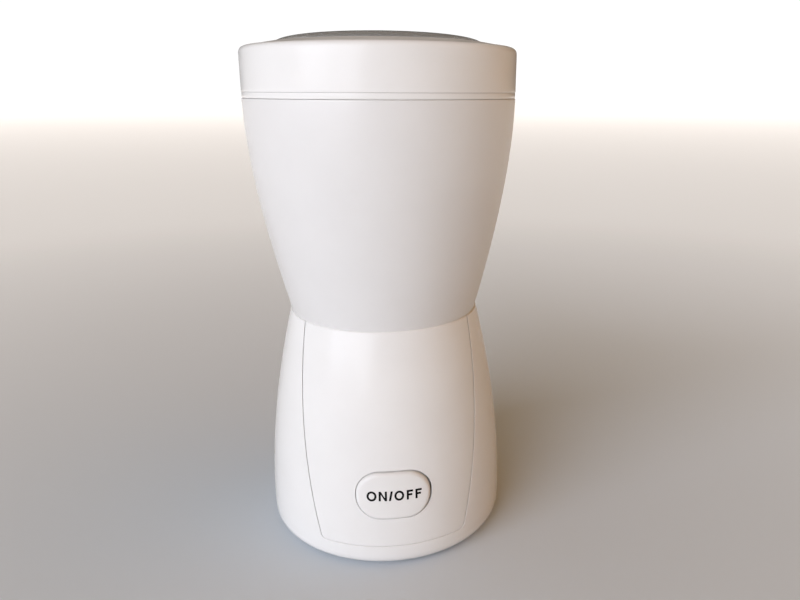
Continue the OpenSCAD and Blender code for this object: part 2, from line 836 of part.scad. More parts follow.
module rotor_core() {
    color(dark_steel) translate([0, 0, z_core]) difference() {
        cylinder(r = rotor_r, h = stack_h);
        translate([0, 0, -cut]) cylinder(r = shaft_r, h = stack_h + 2 * cut);
        for (a = [0:30:330]) rotate([0, 0, a]) {
            translate([rotor_r - 5, -1.3, -cut]) cube([4, 2.6, stack_h + 2 * cut]);
            translate([rotor_r - 2, -0.6, -cut]) cube([3, 1.2, stack_h + 2 * cut]);
        }
    }
}

module rotor_windings() {
    r_out = rotor_r - 1;
    color(copper) for (z0 = [z_core - winding_h, z_core_top]) rotate_extrude() difference() {
        translate([(shaft_r + 1.5 + r_out) / 2, z0 + winding_h / 2])
            rounded_rect(r_out - shaft_r - 1.5, winding_h, 2.4);
        translate([0, z0]) square([shaft_r + 1, winding_h]);
    }
}

module commutator() {
    color(copper) difference() {
        tube(commutator_r, shaft_r, z_commutator, z_commutator + commutator_h);
        for (a = [0:30:330]) rotate([0, 0, a])
            translate([commutator_r - 1, -0.2, z_commutator - cut]) cube([2, 0.4, commutator_h + 2 * cut]);
    }
}

module shaft_washers() {
    z_low = z_lower_boss + lower_boss_h + rest_gap;
    z_high = z_upper_bracket - rest_gap - washer_t;
    color(black) for (z0 = [z_low, z_high]) tube(washer_r, shaft_r, z0, z0 + washer_t);
}

module cooling_fan() {
    step = 360 / fan_vanes;
    color(white) difference() {
        union() {
            rod(fan_hub_r, z_fan, z_fan + fan_h);
            rod(fan_r, z_fan + fan_h - fan_disc_t, z_fan + fan_h);
            for (i = [0:fan_vanes - 1]) rotate([0, 0, step * i])
                translate([fan_hub_r - 1, -0.6, z_fan + 0.5]) cube([fan_r - fan_hub_r + 0.6, 1.2, fan_h - 1]);
        }
        rod(shaft_r, z_fan - cut, z_fan + fan_h + cut);
    }
}

module blade_hub() {
    color(black) tube(hub_r, shaft_r, z_hub, z_blade);
}

// Half of the blade's side view, from the underside of its bend round the raised tip to the top
function blade_arm(rise) =
    let (bottom = [blade_l - blade_tip, 0], tip = bottom + blade_tip * [cos(rise), sin(rise)])
    [bottom, tip, tip + blade_t * [-sin(rise), cos(rise)], bottom + blade_t * [-tan(rise / 2), 1]];

module blade() {
    left = blade_arm(tip_rise_low);
    color(steel) difference() {
        along_y(-blade_w / 2, blade_w / 2) translate([0, z_blade])
            polygon(concat(blade_arm(tip_rise), [for (i = [3:-1:0]) [-left[i][0], left[i][1]]]));
        rod(shaft_r, z_blade - cut, z_blade + blade_t + cut);
    }
}

module blade_nut() {
    color(steel) difference() {
        intersection() {
            rod(nut_r, z_nut, z_nut + nut_h, $fn = 6);
            translate([0, 0, z_nut - 2]) sphere(nut_r + 1.6);
        }
        rod(shaft_r, z_nut - cut, shaft_top + 0.2);
    }
}

// ---------- button and power switch ----------

module power_button() {
    face_d = 2.2 - button_proud;
    color(white) {
        difference() {
            union() {
                intersection() {
                    along_y(-far, y_flange + 0.2) button_outline(0);
                    base_core(-button_proud);
                }
                along_y(y_flange, y_flange + button_flange_t) button_outline(button_gap + 1.2);
            }
            intersection() {
                along_y(-far, y_bracket) button_outline(-button_wall);
                base_core(face_d);
            }
        }
        intersection() {
            along_y(-far, y_stem) translate([0, button_z]) circle(stem_r);
            base_core(face_d - 0.5);
        }
    }
}

module button_spring() {
    y0 = -belly_r + 3.4;
    color(steel) translate([0, y_bracket, button_z]) rotate([90, 0, 0])
        coil_spring(3.6, 0.3, y_bracket - y0, 5);
}

module power_switch() {
    color(black) difference() {
        translate([-switch_l / 2, y_switch, button_z - switch_t / 2]) cube([switch_l, switch_d, switch_t]);
        along_y(y_switch - cut, y_plunger + plunger_l + plunger_out) translate([0, button_z])
            circle(plunger_r + run_gap);
    }
}

module switch_terminals() {
    color(brass) for (side = [0, 1]) mirror([side, 0, 0])
        translate([switch_l / 2, y_switch + terminal_y, button_z - terminal_t / 2])
            cube([terminal_l, terminal_w, terminal_t]);
}

module switch_plunger() {
    color([0.75, 0.2, 0.15]) along_y(y_plunger, y_plunger + plunger_l) translate([0, button_z])
        circle(plunger_r);
}

// The bracket stays clear of the casing's wall
module switch_bracket() {
    shelf_z = switch_t / 2 + fit;
    color(white) difference() {
        intersection() {
            union() {
                along_y(y_bracket, y_switch) translate([0, button_z])
                    rounded_rect(2 * (switch_screw_x + bracket_end), bracket_h, bracket_corner_r);
                for (z = [shelf_z, -shelf_z - switch_shelf_t])
                    translate([-shelf_l / 2, y_switch - 0.5, button_z + z])
                        cube([shelf_l, shelf_d, switch_shelf_t]);
            }
            base_core(wall + rest_gap);
        }
        along_y(y_bracket - cut, y_switch + cut) translate([0, button_z]) circle(bracket_hole_r);
        for (x = [-1, 1]) along_y(y_bracket - cut, y_switch + cut)
            translate([x * switch_screw_x, button_z]) circle(screw_r + fit);
    }
}

module switch_screws() {
    half = driver_slot / 2;
    color(steel) for (x = [-1, 1]) translate([x * switch_screw_x, 0, button_z]) rotate([-90, 0, 0]) {
        rod(screw_r, y_bracket - switch_screw_l, y_switch);
        difference() {
            rod(switch_head_r, y_switch, y_switch + switch_head_t);
            translate([-switch_head_r + driver_slot, -half, y_switch + switch_head_t / 2])
                cube([2 * (switch_head_r - driver_slot), driver_slot, switch_head_t]);
        }
    }
}

// ---------- lid interlock ----------

module interlock_pin() {
    color([0.75, 0.2, 0.15]) {
        translate([0, pin_y, 0]) rod(pin_r, z_pin, z_pin_head + 0.5);
        translate([-3.5, pin_y - 1.2, z_pin_head]) cube([7, 4.3, pin_head_t]);
    }
}

module interlock_spring() {
    z0 = z_guide + guide_h;
    color(steel) translate([0, pin_y, z0]) coil_spring(pin_r + 0.7, 0.2, z_pin_head - z0, 3.5);
}

module interlock_switch() {
    color(black) {
        translate([-micro_w / 2, y_micro, z_micro]) cube([micro_w, micro_t, micro_h]);
        for (x = [-micro_pin_x, micro_pin_x]) translate([x - 0.4, y_micro + 1.5, z_micro - micro_pin_l])
            cube([0.8, 2, micro_pin_l + 0.2]);
    }
}

module interlock_bracket() {
    top = z_guide + guide_h;
    color(white) difference() {
        union() {
            translate([-cheek_x - cheek_t, pin_y - 2.4, z_guide])
                cube([2 * (cheek_x + cheek_t), 4.2, guide_h]);
            for (side = [0, 1]) mirror([side, 0, 0]) translate([cheek_x, y_cheek, z_micro - bracket_reach])
                cube([cheek_t, bracket_d, top - z_micro + bracket_reach]);
            translate([-cheek_x - cheek_t, y_cheek, z_micro - bracket_reach])
                cube([2 * (cheek_x + cheek_t), bracket_d, bracket_reach - fit]);
        }
        translate([0, pin_y, 0]) rod(pin_r + run_gap, z_guide - cut, top + cut);
        for (x = [-micro_pin_x, micro_pin_x])
            translate([x - 1, y_micro + 1.3, z_micro - 2]) cube([2, 2.4, 3]);
    }
}

// ---------- electrical parts ----------

module terminal_block() {
    hole_r = 1.7;
    color(white) difference() {
        translate([-block_w / 2, block_y, z_plate]) cube([block_w, block_d, block_h]);
        for (x = [-block_w / 4, block_w / 4]) translate([x, block_y + 3, 0])
            rod(hole_r, z_plate + block_h / 2, z_plate + block_h + cut);
    }
}

module thermal_fuse() {
    color(white) translate([-6, stator_y / 2 + 2.1, z_core + stack_h / 2]) rotate([0, 90, 0])
        cylinder(r = 2.1, h = 12);
}

wire_r = 1.1;
z_block = z_plate + block_h;
z_micro_foot = z_micro - micro_pin_l;
x_terminal = switch_l / 2 + terminal_l + rest_gap;
y_terminal = y_switch + terminal_y + terminal_w / 2;
// Mains to the lid's switch, up the rear of the motor
wire_up = [[-5, 33, z_block + wire_r], [-6, 34, z_block + 10], [-8, 33, z_core], [-8, 31, z_core_top],
    [-8, 27, z_waist - 6], [-8, 26, z_deck + deck_t], [-8, 29, z_deck + 18], [-6, 36, z_micro - 12],
    [-4, y_micro + 2.5, z_micro_foot - 4], [-4, y_micro + 2.5, z_micro_foot - rest_gap]];
// From the lid's switch down and round the motor to the power switch
wire_down = [[4, y_micro + 2.5, z_micro_foot - rest_gap], [4, y_micro + 2.5, z_micro_foot - 4],
    [6, 36, z_micro - 12], [8, 29, z_deck + 18],
    [8, 26, z_deck + deck_t], [8, 27, z_waist - 6], [8, 31, z_core_top], [11, 33, z_core + 4],
    [24, 27, z_core - 11], [32, 10, 25], [31, -8, 24], [26, -20, 27],
    [20, y_terminal, button_z], [x_terminal, y_terminal, button_z]];
// From the power switch to the field coil
wire_coil = [[-x_terminal, y_terminal, button_z], [-19, y_terminal, button_z + 1],
    [-22, -21, z_core - 8], [-20, -17.5, z_core - 3], [-(slot_x + coil_t + 2 * rest_gap), -16.4, z_core - 3]];
// From the mains to the rear brush
wire_brush = [[5, 33, z_block + wire_r], [6, 33, z_block + 6], [4, 29, z_brush - 1], [0, 26, z_brush],
    [0, holder_end + rest_gap, z_brush]];

module wiring() {
    color([0.2, 0.3, 0.6]) {
        sweep(without_doubles(smooth(wire_up)), wire_r, [1, 0, 0]);
        sweep(without_doubles(smooth(wire_down)), wire_r, [0.8, 0.6, 0]);
        sweep(without_doubles(smooth(wire_coil)), wire_r, [0, 0.5, -1]);
        sweep(without_doubles(smooth(wire_brush)), wire_r, [1, 0, 0]);
    }
}

// ---------- lid ----------

roof_edge = bend([lid_r, z_shoulder], [lid_r, z_shoulder + shoulder_r * 0.8],
    [lid_r - shoulder_r, z_shoulder + shoulder_r * 0.8], 5);
z_under_roof = z_shoulder + shoulder_r * 0.8 - lid_t;
z_step = z_under_roof - 0.6;
liner_r = bowl_mouth_r - 0.7;

module lid_shell() {
    inner_r = lid_r - lid_t;
    color(white) {
        rotate_extrude() polygon(concat([[inner_r, z_lid], [lid_r, z_lid]], roof_edge,
            [[window_r, z_roof], [window_r, z_roof - lid_t], [inner_r, z_under_roof]]));
        intersection() {
            translate([-tab_w / 2, tab_y, z_tab]) cube([tab_w, far, far]);
            union() {
                rod(sqrt(pow(tab_y + tab_t, 2) + pow(tab_w / 2, 2)), z_tab, z_lid + 1);
                rod(inner_r + 0.5, z_lid, z_lid + 8);
            }
            translate([-far, 0, z_tab]) cube([2 * far, tab_y + tab_t, z_lid - z_tab + 8]);
        }
        for (x = [-1, 1]) translate([x * (tab_w / 2 - 0.8) - 0.8, tab_y, z_lid])
            cube([1.6, sqrt(pow(inner_r + 0.5, 2) - pow(tab_w / 2, 2)) - tab_y, 8]);
    }
}

module lid_window() {
    edge_r = window_r - fit;
    top = bend([0, z_top], [edge_r * 0.55, z_top], [edge_r, z_roof], 8);
    under = [for (i = [7:-1:0]) top[i] - [0, window_t]];
    color(smoke) rotate_extrude() polygon(concat(top,
        [[edge_r, z_step], [lid_r - lid_t - 1.5, z_step], [lid_r - lid_t - 1.5, z_step - window_t],
        [liner_r, z_step - window_t], [liner_r, z_seam - liner_depth],
        [liner_r - window_t, z_seam - liner_depth], [liner_r - window_t, z_step - window_t],
        [edge_r - window_t, z_step - window_t], [edge_r - window_t, z_roof - window_t]], under));
}

module lid_seal() {
    color(satin_white) tube(liner_r + 2.6, liner_r, z_lid, z_lid + 2);
}

base_casing();
front_panel();
base_plate();
rubber_feet();
base_screws();
cable_gland();
upper_casing();
bowl_ring();
grinding_bowl();
bowl_gasket();
shaft_seal();
stator_core();
field_coils();
upper_bracket();
lower_bracket();
upper_bearing();
lower_bearing();
brush_holders();
carbon_brushes();
brush_springs();
motor_screws();
motor_mounts();
motor_shaft();
rotor_core();
rotor_windings();
commutator();
shaft_washers();
cooling_fan();
blade_hub();
blade();
blade_nut();
power_switch();
switch_terminals();
switch_plunger();
switch_bracket();
switch_screws();
power_button();
button_spring();
interlock_switch();
interlock_bracket();
interlock_pin();
interlock_spring();
terminal_block();
thermal_fuse();
wiring();
lid_shell();
lid_window();
lid_seal();
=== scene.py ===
"""Electric spice grinder: smooth shells, ground metalwork and moulded finishes round the CAD frame.

Lengths are in millimetres until a mesh is made. The frame has +Z up and the button towards -Y.
"""

import json
import logging
import math
from dataclasses import dataclass, field
from enum import Enum
from typing import ClassVar, Sequence

import bmesh
import bpy
import numpy as np
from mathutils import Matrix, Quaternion, Vector


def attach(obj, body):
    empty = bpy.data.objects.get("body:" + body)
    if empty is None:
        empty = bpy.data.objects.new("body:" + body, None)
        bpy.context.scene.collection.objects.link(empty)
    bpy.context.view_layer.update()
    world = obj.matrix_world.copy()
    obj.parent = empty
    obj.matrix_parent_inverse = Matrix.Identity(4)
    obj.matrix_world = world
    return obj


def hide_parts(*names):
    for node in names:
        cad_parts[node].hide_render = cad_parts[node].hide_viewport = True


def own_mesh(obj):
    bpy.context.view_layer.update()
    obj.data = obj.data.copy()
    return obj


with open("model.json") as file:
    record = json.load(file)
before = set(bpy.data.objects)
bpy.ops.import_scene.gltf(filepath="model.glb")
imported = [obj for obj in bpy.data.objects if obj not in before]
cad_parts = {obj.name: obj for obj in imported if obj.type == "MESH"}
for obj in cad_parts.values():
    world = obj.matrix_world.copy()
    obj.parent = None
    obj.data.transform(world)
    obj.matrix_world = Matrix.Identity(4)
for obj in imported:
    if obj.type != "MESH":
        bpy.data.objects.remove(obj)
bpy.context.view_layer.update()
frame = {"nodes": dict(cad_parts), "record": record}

MM = 0.001
SMOOTH_ANGLE = math.radians(34)
WELD = 1e-6  # metres within which points become one
STRAIGHT = 0.02  # radians within which a corner isn't rounded
MOST_OF_HALF = 0.49  # share of a side that a corner's rounding may take
Colour = tuple[float, float, float]
Point = tuple[float, float]
Place = tuple[float, float, float]
Path = tuple[np.ndarray, np.ndarray]

log = logging.getLogger("spice_grinder")


class Body(Enum):
    """Rigid bodies of the grinder."""

    ROOT = "root"
    LID = "lid"
    BUTTON = "button"
    ROTOR = "rotor"


class Axis(Enum):
    """Axis that a turned piece goes round."""

    UP = "z"
    REARWARDS = "y"


# ---------- curves ----------


def bend(a: Point, b: Point, c: Point, steps: int) -> list[Point]:
    """Points of a curve that leaves one point towards a second and reaches a third from it.

    Args:
        a: First point.
        b: Point that both ends of the curve aim at.
        c: Last point.
        steps: Number of stretches.

    Returns:
        The points, both ends included.
    """
    points = []
    for i in range(steps + 1):
        t = i / steps
        near, mid, far = (1 - t) ** 2, 2 * t * (1 - t), t * t
        points.append((near * a[0] + mid * b[0] + far * c[0], near * a[1] + mid * b[1] + far * c[1]))
    return points


def arc(centre: Point, radius: float, start: float, end: float, steps: int) -> list[Point]:
    """Points of an arc, with its angles in degrees."""
    angles = [math.radians(start + (end - start) * i / steps) for i in range(steps + 1)]
    return [(centre[0] + radius * math.cos(a), centre[1] + radius * math.sin(a)) for a in angles]


def rounded(corners: Sequence[tuple[float, float, float]], steps: int = 5) -> list[Point]:
    """Rounds the corners of a closed outline.

    Args:
        corners: Each corner with the radius of its rounding.
        steps: Stretches of each rounding.

    Returns:
        The outline's points.
    """
    outline: list[Point] = []
    for i, (x, y, radius) in enumerate(corners):
        here = Vector((x, y))
        back = Vector(corners[i - 1][:2]) - here
        ahead = Vector(corners[(i + 1) % len(corners)][:2]) - here
        angle = back.angle(ahead, 0.0) if back.length and ahead.length else 0.0
        if radius <= 0 or not STRAIGHT < angle < math.pi - STRAIGHT:
            outline.append((x, y))
            continue
        reach = min(radius / math.tan(angle / 2), *(side.length * MOST_OF_HALF for side in (back, ahead)))
        start, end = here + back.normalized() * reach, here + ahead.normalized() * reach
        outline += bend(tuple(start), (x, y), tuple(end), steps)
    return outline


def around(radius: float, degrees: float) -> Place:
    """A point on the ground at a radius from the shaft, and at an angle from +X."""
    angle = math.radians(degrees)
    return radius * math.cos(angle), radius * math.sin(angle), 0.0


def at_depth(x: np.ndarray, y: float, z: np.ndarray) -> np.ndarray:
    """Points on an upright plane at one depth."""
    return np.stack([x, np.full(len(x), y), z], axis=1)


def rounding(radius: float, steps: int) -> list[Point]:
    """Steps of a rounded edge from its side to its face, as inset and depth."""
    angles = [math.pi / 2 * i / steps for i in range(steps + 1)]
    return [(radius - radius * math.cos(a), radius - radius * math.sin(a)) for a in angles]


def smoothstep(x: float, low: float, high: float) -> float:
    """Rises softly from 0 at low to 1 at high."""
    t = min(max((x - low) / (high - low), 0.0), 1.0)
    return t * t * (3 - 2 * t)


# ---------- meshes ----------


class Skin:
    """A mesh put together from loops of points, in millimetres."""

    def __init__(self) -> None:
        """Starts with nothing in it."""
        self.points: list[np.ndarray] = []
        self.faces: list[list[int]] = []
        self.count = 0

    def loop(self, points: np.ndarray) -> np.ndarray:
        """Adds a loop of points.

        Args:
            points: The points.

        Returns:
            Their numbers.
        """
        self.points.append(np.asarray(points, float).reshape(-1, 3))
        numbers = np.arange(self.count, self.count + len(self.points[-1]))
        self.count += len(numbers)
        return numbers

    def face(self, numbers: Sequence[int]) -> None:
        """Adds one face."""
        self.faces.append([int(n) for n in numbers])

    def bridge(self, a: np.ndarray, b: np.ndarray, closed: bool = True) -> None:
        """Joins two loops by faces.

        Args:
            a: Numbers of the first loop; a single number makes a fan.
            b: Numbers of the second loop; a single number makes a fan.
            closed: Whether the loops go all the way round.
        """
        size = max(len(a), len(b))
        for i in range(size if closed else size - 1):
            j = (i + 1) % size
            if len(a) == 1:
                self.face((a[0], b[j], b[i]))
            elif len(b) == 1:
                self.face((a[i], a[j], b[0]))
            else:
                self.face((a[i], a[j], b[j], b[i]))

    def chain(self, loops: Sequence[np.ndarray], closed: bool = True, ring: bool = False) -> None:
        """Bridges each loop to the next.

        Args:
            loops: Numbers of the loops, in order.
            closed: Whether each loop goes all the way round.
            ring: Whether the last loop joins the first.
        """
        for a, b in zip(loops, loops[1:]):
            self.bridge(a, b, closed)
        if ring:
            self.bridge(loops[-1], loops[0], closed)

    def swept(self, sections: Sequence[np.ndarray], ring: bool = False) -> None:
        """Adds a solid along closed sections.

        Args:
            sections: Points of each section.
            ring: Whether the last section joins the first; otherwise a face closes each end.
        """
        loops = [self.loop(points) for points in sections]
        self.chain(loops, ring=ring)
        if not ring:
            self.face(loops[0][::-1])
            self.face(loops[-1])

    def turned(self, outline: Sequence[Point], steps: int, axis: Axis = Axis.UP,
               at: Place = (0.0, 0.0, 0.0), ring: bool = True) -> None:
        """Turns an outline of radius and height into a solid.

        Args:
            outline: Points of the section, as radius and height along the axis.
            steps: Number of stretches round the axis.
            axis: The axis.
            at: A point on the axis.
            ring: Whether the section is closed; otherwise it starts and ends on the axis.
        """
        angles = np.linspace(0, 2 * math.pi, steps, endpoint=False)
        loops = []
        for radius, height in outline:
            if radius < 1e-6:
                circle = np.array([[0.0, 0.0, height]])
            else:
                circle = np.stack([radius * np.sin(angles), -radius * np.cos(angles),
                                   np.full(steps, height)], axis=1)
            if axis is Axis.REARWARDS:
                circle = circle[:, [0, 2, 1]]
            loops.append(self.loop(circle + np.array(at)))
        self.chain(loops, ring=ring)

    def make(self, name: str) -> bpy.types.Object:
        """Makes the object: welded, facing outwards and smooth between its edges.

        Args:
            name: Name of the object.

        Returns:
            The object, with its mesh in metres.
        """
        mesh = bpy.data.meshes.new(name)
        mesh.from_pydata((np.concatenate(self.points) * MM).tolist(), [], self.faces)
        clean = bmesh.new()
        clean.from_mesh(mesh)
        bmesh.ops.remove_doubles(clean, verts=clean.verts, dist=WELD)
        bmesh.ops.dissolve_degenerate(clean, edges=clean.edges, dist=WELD / 10)
        bmesh.ops.recalc_face_normals(clean, faces=clean.faces)
        clean.to_mesh(mesh)
        clean.free()
        smooth(mesh)
        piece = bpy.data.objects.new(name, mesh)
        bpy.context.scene.collection.objects.link(piece)
        return piece


def smooth(mesh: bpy.types.Mesh) -> None:
    """Shades a mesh smooth between its sharp edges."""
    mesh.shade_smooth()
    mesh.set_sharp_from_angle(angle=SMOOTH_ANGLE)


def carve(piece: bpy.types.Object, cutter: bpy.types.Object) -> None:
    """Cuts one object's form out of another and removes the cutter.

    Args:
        piece: The object that is cut.
        cutter: The object whose form is taken away.
    """
    modifier = piece.modifiers.new("cut", "BOOLEAN")
    modifier.operation = "DIFFERENCE"
    modifier.solver = "EXACT"
    modifier.object = cutter
    evaluated = piece.evaluated_get(bpy.context.evaluated_depsgraph_get())
    result = bpy.data.meshes.new_from_object(evaluated)
    old = piece.data
    piece.modifiers.clear()
    piece.data = result
    result.name = old.name
    bpy.data.meshes.remove(old)
    bpy.data.objects.remove(cutter)
    smooth(result)


def join(piece: bpy.types.Object, other: bpy.types.Object) -> None:
    """Adds a second object's mesh to the first and removes the second.

    Args:
        piece: The object that grows.
        other: The object that goes into it.
    """
    both = bmesh.new()
    both.from_mesh(piece.data)
    both.from_mesh(other.data)
    both.to_mesh(piece.data)
    both.free()
    bpy.data.meshes.remove(other.data)


def block(low: Place, high: Place) -> bpy.types.Object:
    """A box for cutting.

    Args:
        low: Its lowest corner.
        high: Its highest corner.

    Returns:
        The box.
    """
    skin = Skin()
    corners = [(low[0], low[1]), (high[0], low[1]), (high[0], high[1]), (low[0], high[1])]
    skin.swept([np.array([(x, y, z) for x, y in corners]) for z in (low[2], high[2])])
    return skin.make("cutter")


def rod(radius: float, span: Point, steps: int, axis: Axis = Axis.UP,
        at: Place = (0.0, 0.0, 0.0)) -> bpy.types.Object:
    """A round bar for cutting.

    Args:
        radius: Its radius.
        span: Where it starts and ends along the axis.
        steps: Number of stretches round the axis.
        axis: The axis.
        at: A point on the axis.

    Returns:
        The bar.
    """
    skin, (low, high) = Skin(), span
    skin.turned([(0.0, low), (radius, low), (radius, high), (0.0, high)], steps, axis, at, ring=False)
    return skin.make("cutter")


# ---------- finishes ----------


Socket = bpy.types.NodeSocket
Inputs = dict[str | int, object]


class Graph:
    """The nodes of a material or of the surroundings."""

    FIRST, SECOND, MIXED = 6, 7, 2  # where a mix node has its colours, whose names it uses more than once

    def __init__(self, tree: bpy.types.NodeTree) -> None:
        """Empties a tree of nodes."""
        self.tree = tree
        self.tree.nodes.clear()

    def feed(self, node: bpy.types.Node, inputs: Inputs) -> None:
        """Sets or links a node's inputs.

        Args:
            node: The node.
            inputs: For each input's name or number, its value or the socket that feeds it.
        """
        for key, value in inputs.items():
            if isinstance(value, Socket):
                self.tree.links.new(value, node.inputs[key])
            else:
                node.inputs[key].default_value = value

    def add(self, kind: str, inputs: Inputs | None = None, **settings: object) -> bpy.types.Node:
        """Adds a node.

        Args:
            kind: Its type.
            inputs: Values or sockets for its inputs.
            **settings: Its own settings.

        Returns:
            The node.
        """
        node = self.tree.nodes.new(kind)
        for key, value in settings.items():
            setattr(node, key, value)
        self.feed(node, inputs or {})
        return node

    def mix(self, value: Socket, first: Colour | Socket, second: Colour) -> Socket:
        """A colour between two, chosen by a value.

        Args:
            value: The second colour's share.
            first: Colour or socket where the share is 0.
            second: Colour where it is 1.

        Returns:
            The mixed colour.
        """
        start = first if isinstance(first, Socket) else (*first, 1.0)
        inputs = {"Factor": value, self.FIRST: start, self.SECOND: (*second, 1.0)}
        return self.add("ShaderNodeMix", inputs, data_type="RGBA").outputs[self.MIXED]


class Surface(Graph):
    """A material's nodes, round one shader."""

    def __init__(self, name: str) -> None:
        """Starts a material with a shader and its output.

        Args:
            name: Name of the material.
        """
        self.material = bpy.data.materials.new(name)
        self.material.use_nodes = True
        super().__init__(self.material.node_tree)
        self.shader = self.add("ShaderNodeBsdfPrincipled")
        self.add("ShaderNodeOutputMaterial", {"Surface": self.shader.outputs["BSDF"]})
        self.place = self.add("ShaderNodeTexCoord").outputs["Object"]

    def shade(self, inputs: Inputs) -> None:
        """Sets or links the shader's inputs."""
        self.feed(self.shader, inputs)

    def noise(self, scale: float, detail: float = 3.0, where: Socket | None = None) -> Socket:
        """Noise of a scale per metre, at the piece's coordinates or at others."""
        inputs = {"Vector": where or self.place, "Scale": scale, "Detail": detail}
        return self.add("ShaderNodeTexNoise", inputs).outputs["Fac"]

    def remap(self, value: Socket, low: float, high: float, source: Point = (0.3, 0.7)) -> Socket:
        """Maps a value from one range to another."""
        inputs = {"Value": value, "From Min": source[0], "From Max": source[1], "To Min": low, "To Max": high}
        return self.add("ShaderNodeMapRange", inputs).outputs["Result"]

    def bump(self, height: Socket, depth: float, below: Socket | None = None) -> Socket:
        """A relief of a depth in metres, over another relief if one is given."""
        inputs = {"Height": height, "Distance": depth} | ({} if below is None else {"Normal": below})
        return self.add("ShaderNodeBump", inputs).outputs["Normal"]

    def distance(self, place: Socket) -> Socket:
        """Length of a vector."""
        return self.add("ShaderNodeVectorMath", {0: place}, operation="LENGTH").outputs["Value"]

    def cloudy(self, cloud: Socket, colour: Colour, spread: float) -> Socket:
        """A colour that a noise makes darker and lighter by a share."""
        return self.mix(self.remap(cloud, 0.0, 1.0), shaded(colour, 1 - spread), shaded(colour, 1 + spread))


def shaded(colour: Colour, factor: float) -> Colour:
    """A colour made lighter or darker by a factor."""
    return tuple(min(c * factor, 1.0) for c in colour)


@dataclass(frozen=True)
class Finish:
    """What every surface has: a colour that varies a little, a sheen and a fine relief."""

    name: str
    colour: Colour
    roughness: float
    roughness_spread: float = 0.06
    mottle: float = 0.03
    mottle_scale: float = 60.0
    relief_scale: float = 1500.0
    relief_depth: float = 0.00002
    specular: float = 0.5

    def material(self) -> bpy.types.Material:
        """Makes the material.

        Returns:
            The material, with procedural colour, roughness and relief.
        """
        graph = Surface(self.name)
        self.dress(graph)
        return graph.material

    def dress(self, graph: Surface) -> None:
        """Sets the shader's colour, roughness and relief.

        Args:
            graph: The material's nodes.
        """
        graph.shade({
            "Base Color": graph.cloudy(graph.noise(self.mottle_scale), self.colour, self.mottle),
            "Roughness": self.sheen(graph, graph.noise(self.mottle_scale * 3, 4.0)),
            "Normal": self.grain(graph),
            "Specular IOR Level": self.specular,
        })

    def sheen(self, graph: Surface, value: Socket) -> Socket:
        """Roughness that follows a value within its spread."""
        low, high = self.roughness - self.roughness_spread, self.roughness + self.roughness_spread
        return graph.remap(value, low, high)

    def grain(self, graph: Surface) -> Socket:
        """The fine relief."""
        return graph.bump(graph.noise(self.relief_scale, 2.0), self.relief_depth)


@dataclass(frozen=True)
class GlossPlastic(Finish):
    """Moulded plastic with a clear gloss and the slow waves of a cooled moulding."""

    coat: float = 0.5
    coat_roughness: float = 0.05
    wave_scale: float = 45.0
    wave_depth: float = 0.00002

    def dress(self, graph: Surface) -> None:
        """Adds the gloss and the waves to the plain finish.

        Args:
            graph: The material's nodes.
        """
        super().dress(graph)
        waves = graph.bump(graph.noise(self.wave_scale, 1.0), self.wave_depth, self.grain(graph))
        gloss = {"IOR": 1.5, "Coat Weight": self.coat, "Coat Roughness": self.coat_roughness}
        graph.shade({**gloss, "Normal": waves})


@dataclass(frozen=True)
class SmokePlastic(Finish):
    """Clear plastic with a grey tint and the faintest haze."""

    clearness: float = 0.65
    ior: float = 1.49

    def dress(self, graph: Surface) -> None:
        """Lets light through the plain finish."""
        super().dress(graph)
        graph.shade({"IOR": self.ior, "Transmission Weight": self.clearness})


@dataclass(frozen=True)
class Metal(Finish):
    """Machined or drawn metal with fine lines along one direction."""

    lines: tuple[float, float, float] = (300.0, 300.0, 6000.0)
    line_depth: float = 0.000012

    def dress(self, graph: Surface) -> None:
        """Adds the metal and its lines to the plain finish.

        Args:
            graph: The material's nodes.
        """
        super().dress(graph)
        stretched = graph.add("ShaderNodeMapping", {"Vector": graph.place, "Scale": self.lines})
        drawn = graph.noise(1.0, 3.0, stretched.outputs["Vector"])
        relief = graph.bump(drawn, self.line_depth, self.grain(graph))
        graph.shade({"Metallic": 1.0, "Normal": relief, "Roughness": self.sheen(graph, drawn)})


@dataclass(frozen=True)
class SpunMetal(Metal):
    """Sheet metal spun round the shaft, with fine circular marks."""

    marks: float = 5200.0
    mark_depth: float = 0.000008
    dent_scale: float = 70.0
    dent_depth: float = 0.00006

    def dress(self, graph: Surface) -> None:
        """Adds the marks, which follow the distance from the shaft and the height.

        Args:
            graph: The material's nodes.
        """
        super().dress(graph)
        x, y, z = graph.add("ShaderNodeSeparateXYZ", {"Vector": graph.place}).outputs
        flat = graph.add("ShaderNodeCombineXYZ", {"X": x, "Y": y}).outputs["Vector"]
        section = graph.add("ShaderNodeCombineXYZ", {"X": graph.distance(flat), "Y": z}).outputs["Vector"]
        marks = graph.noise(self.marks, 2.0, section)
        dents = graph.bump(graph.noise(self.dent_scale, 1.0), self.dent_depth)
        relief = graph.bump(marks, self.mark_depth, dents)
        graph.shade({"Normal": relief, "Roughness": self.sheen(graph, marks)})


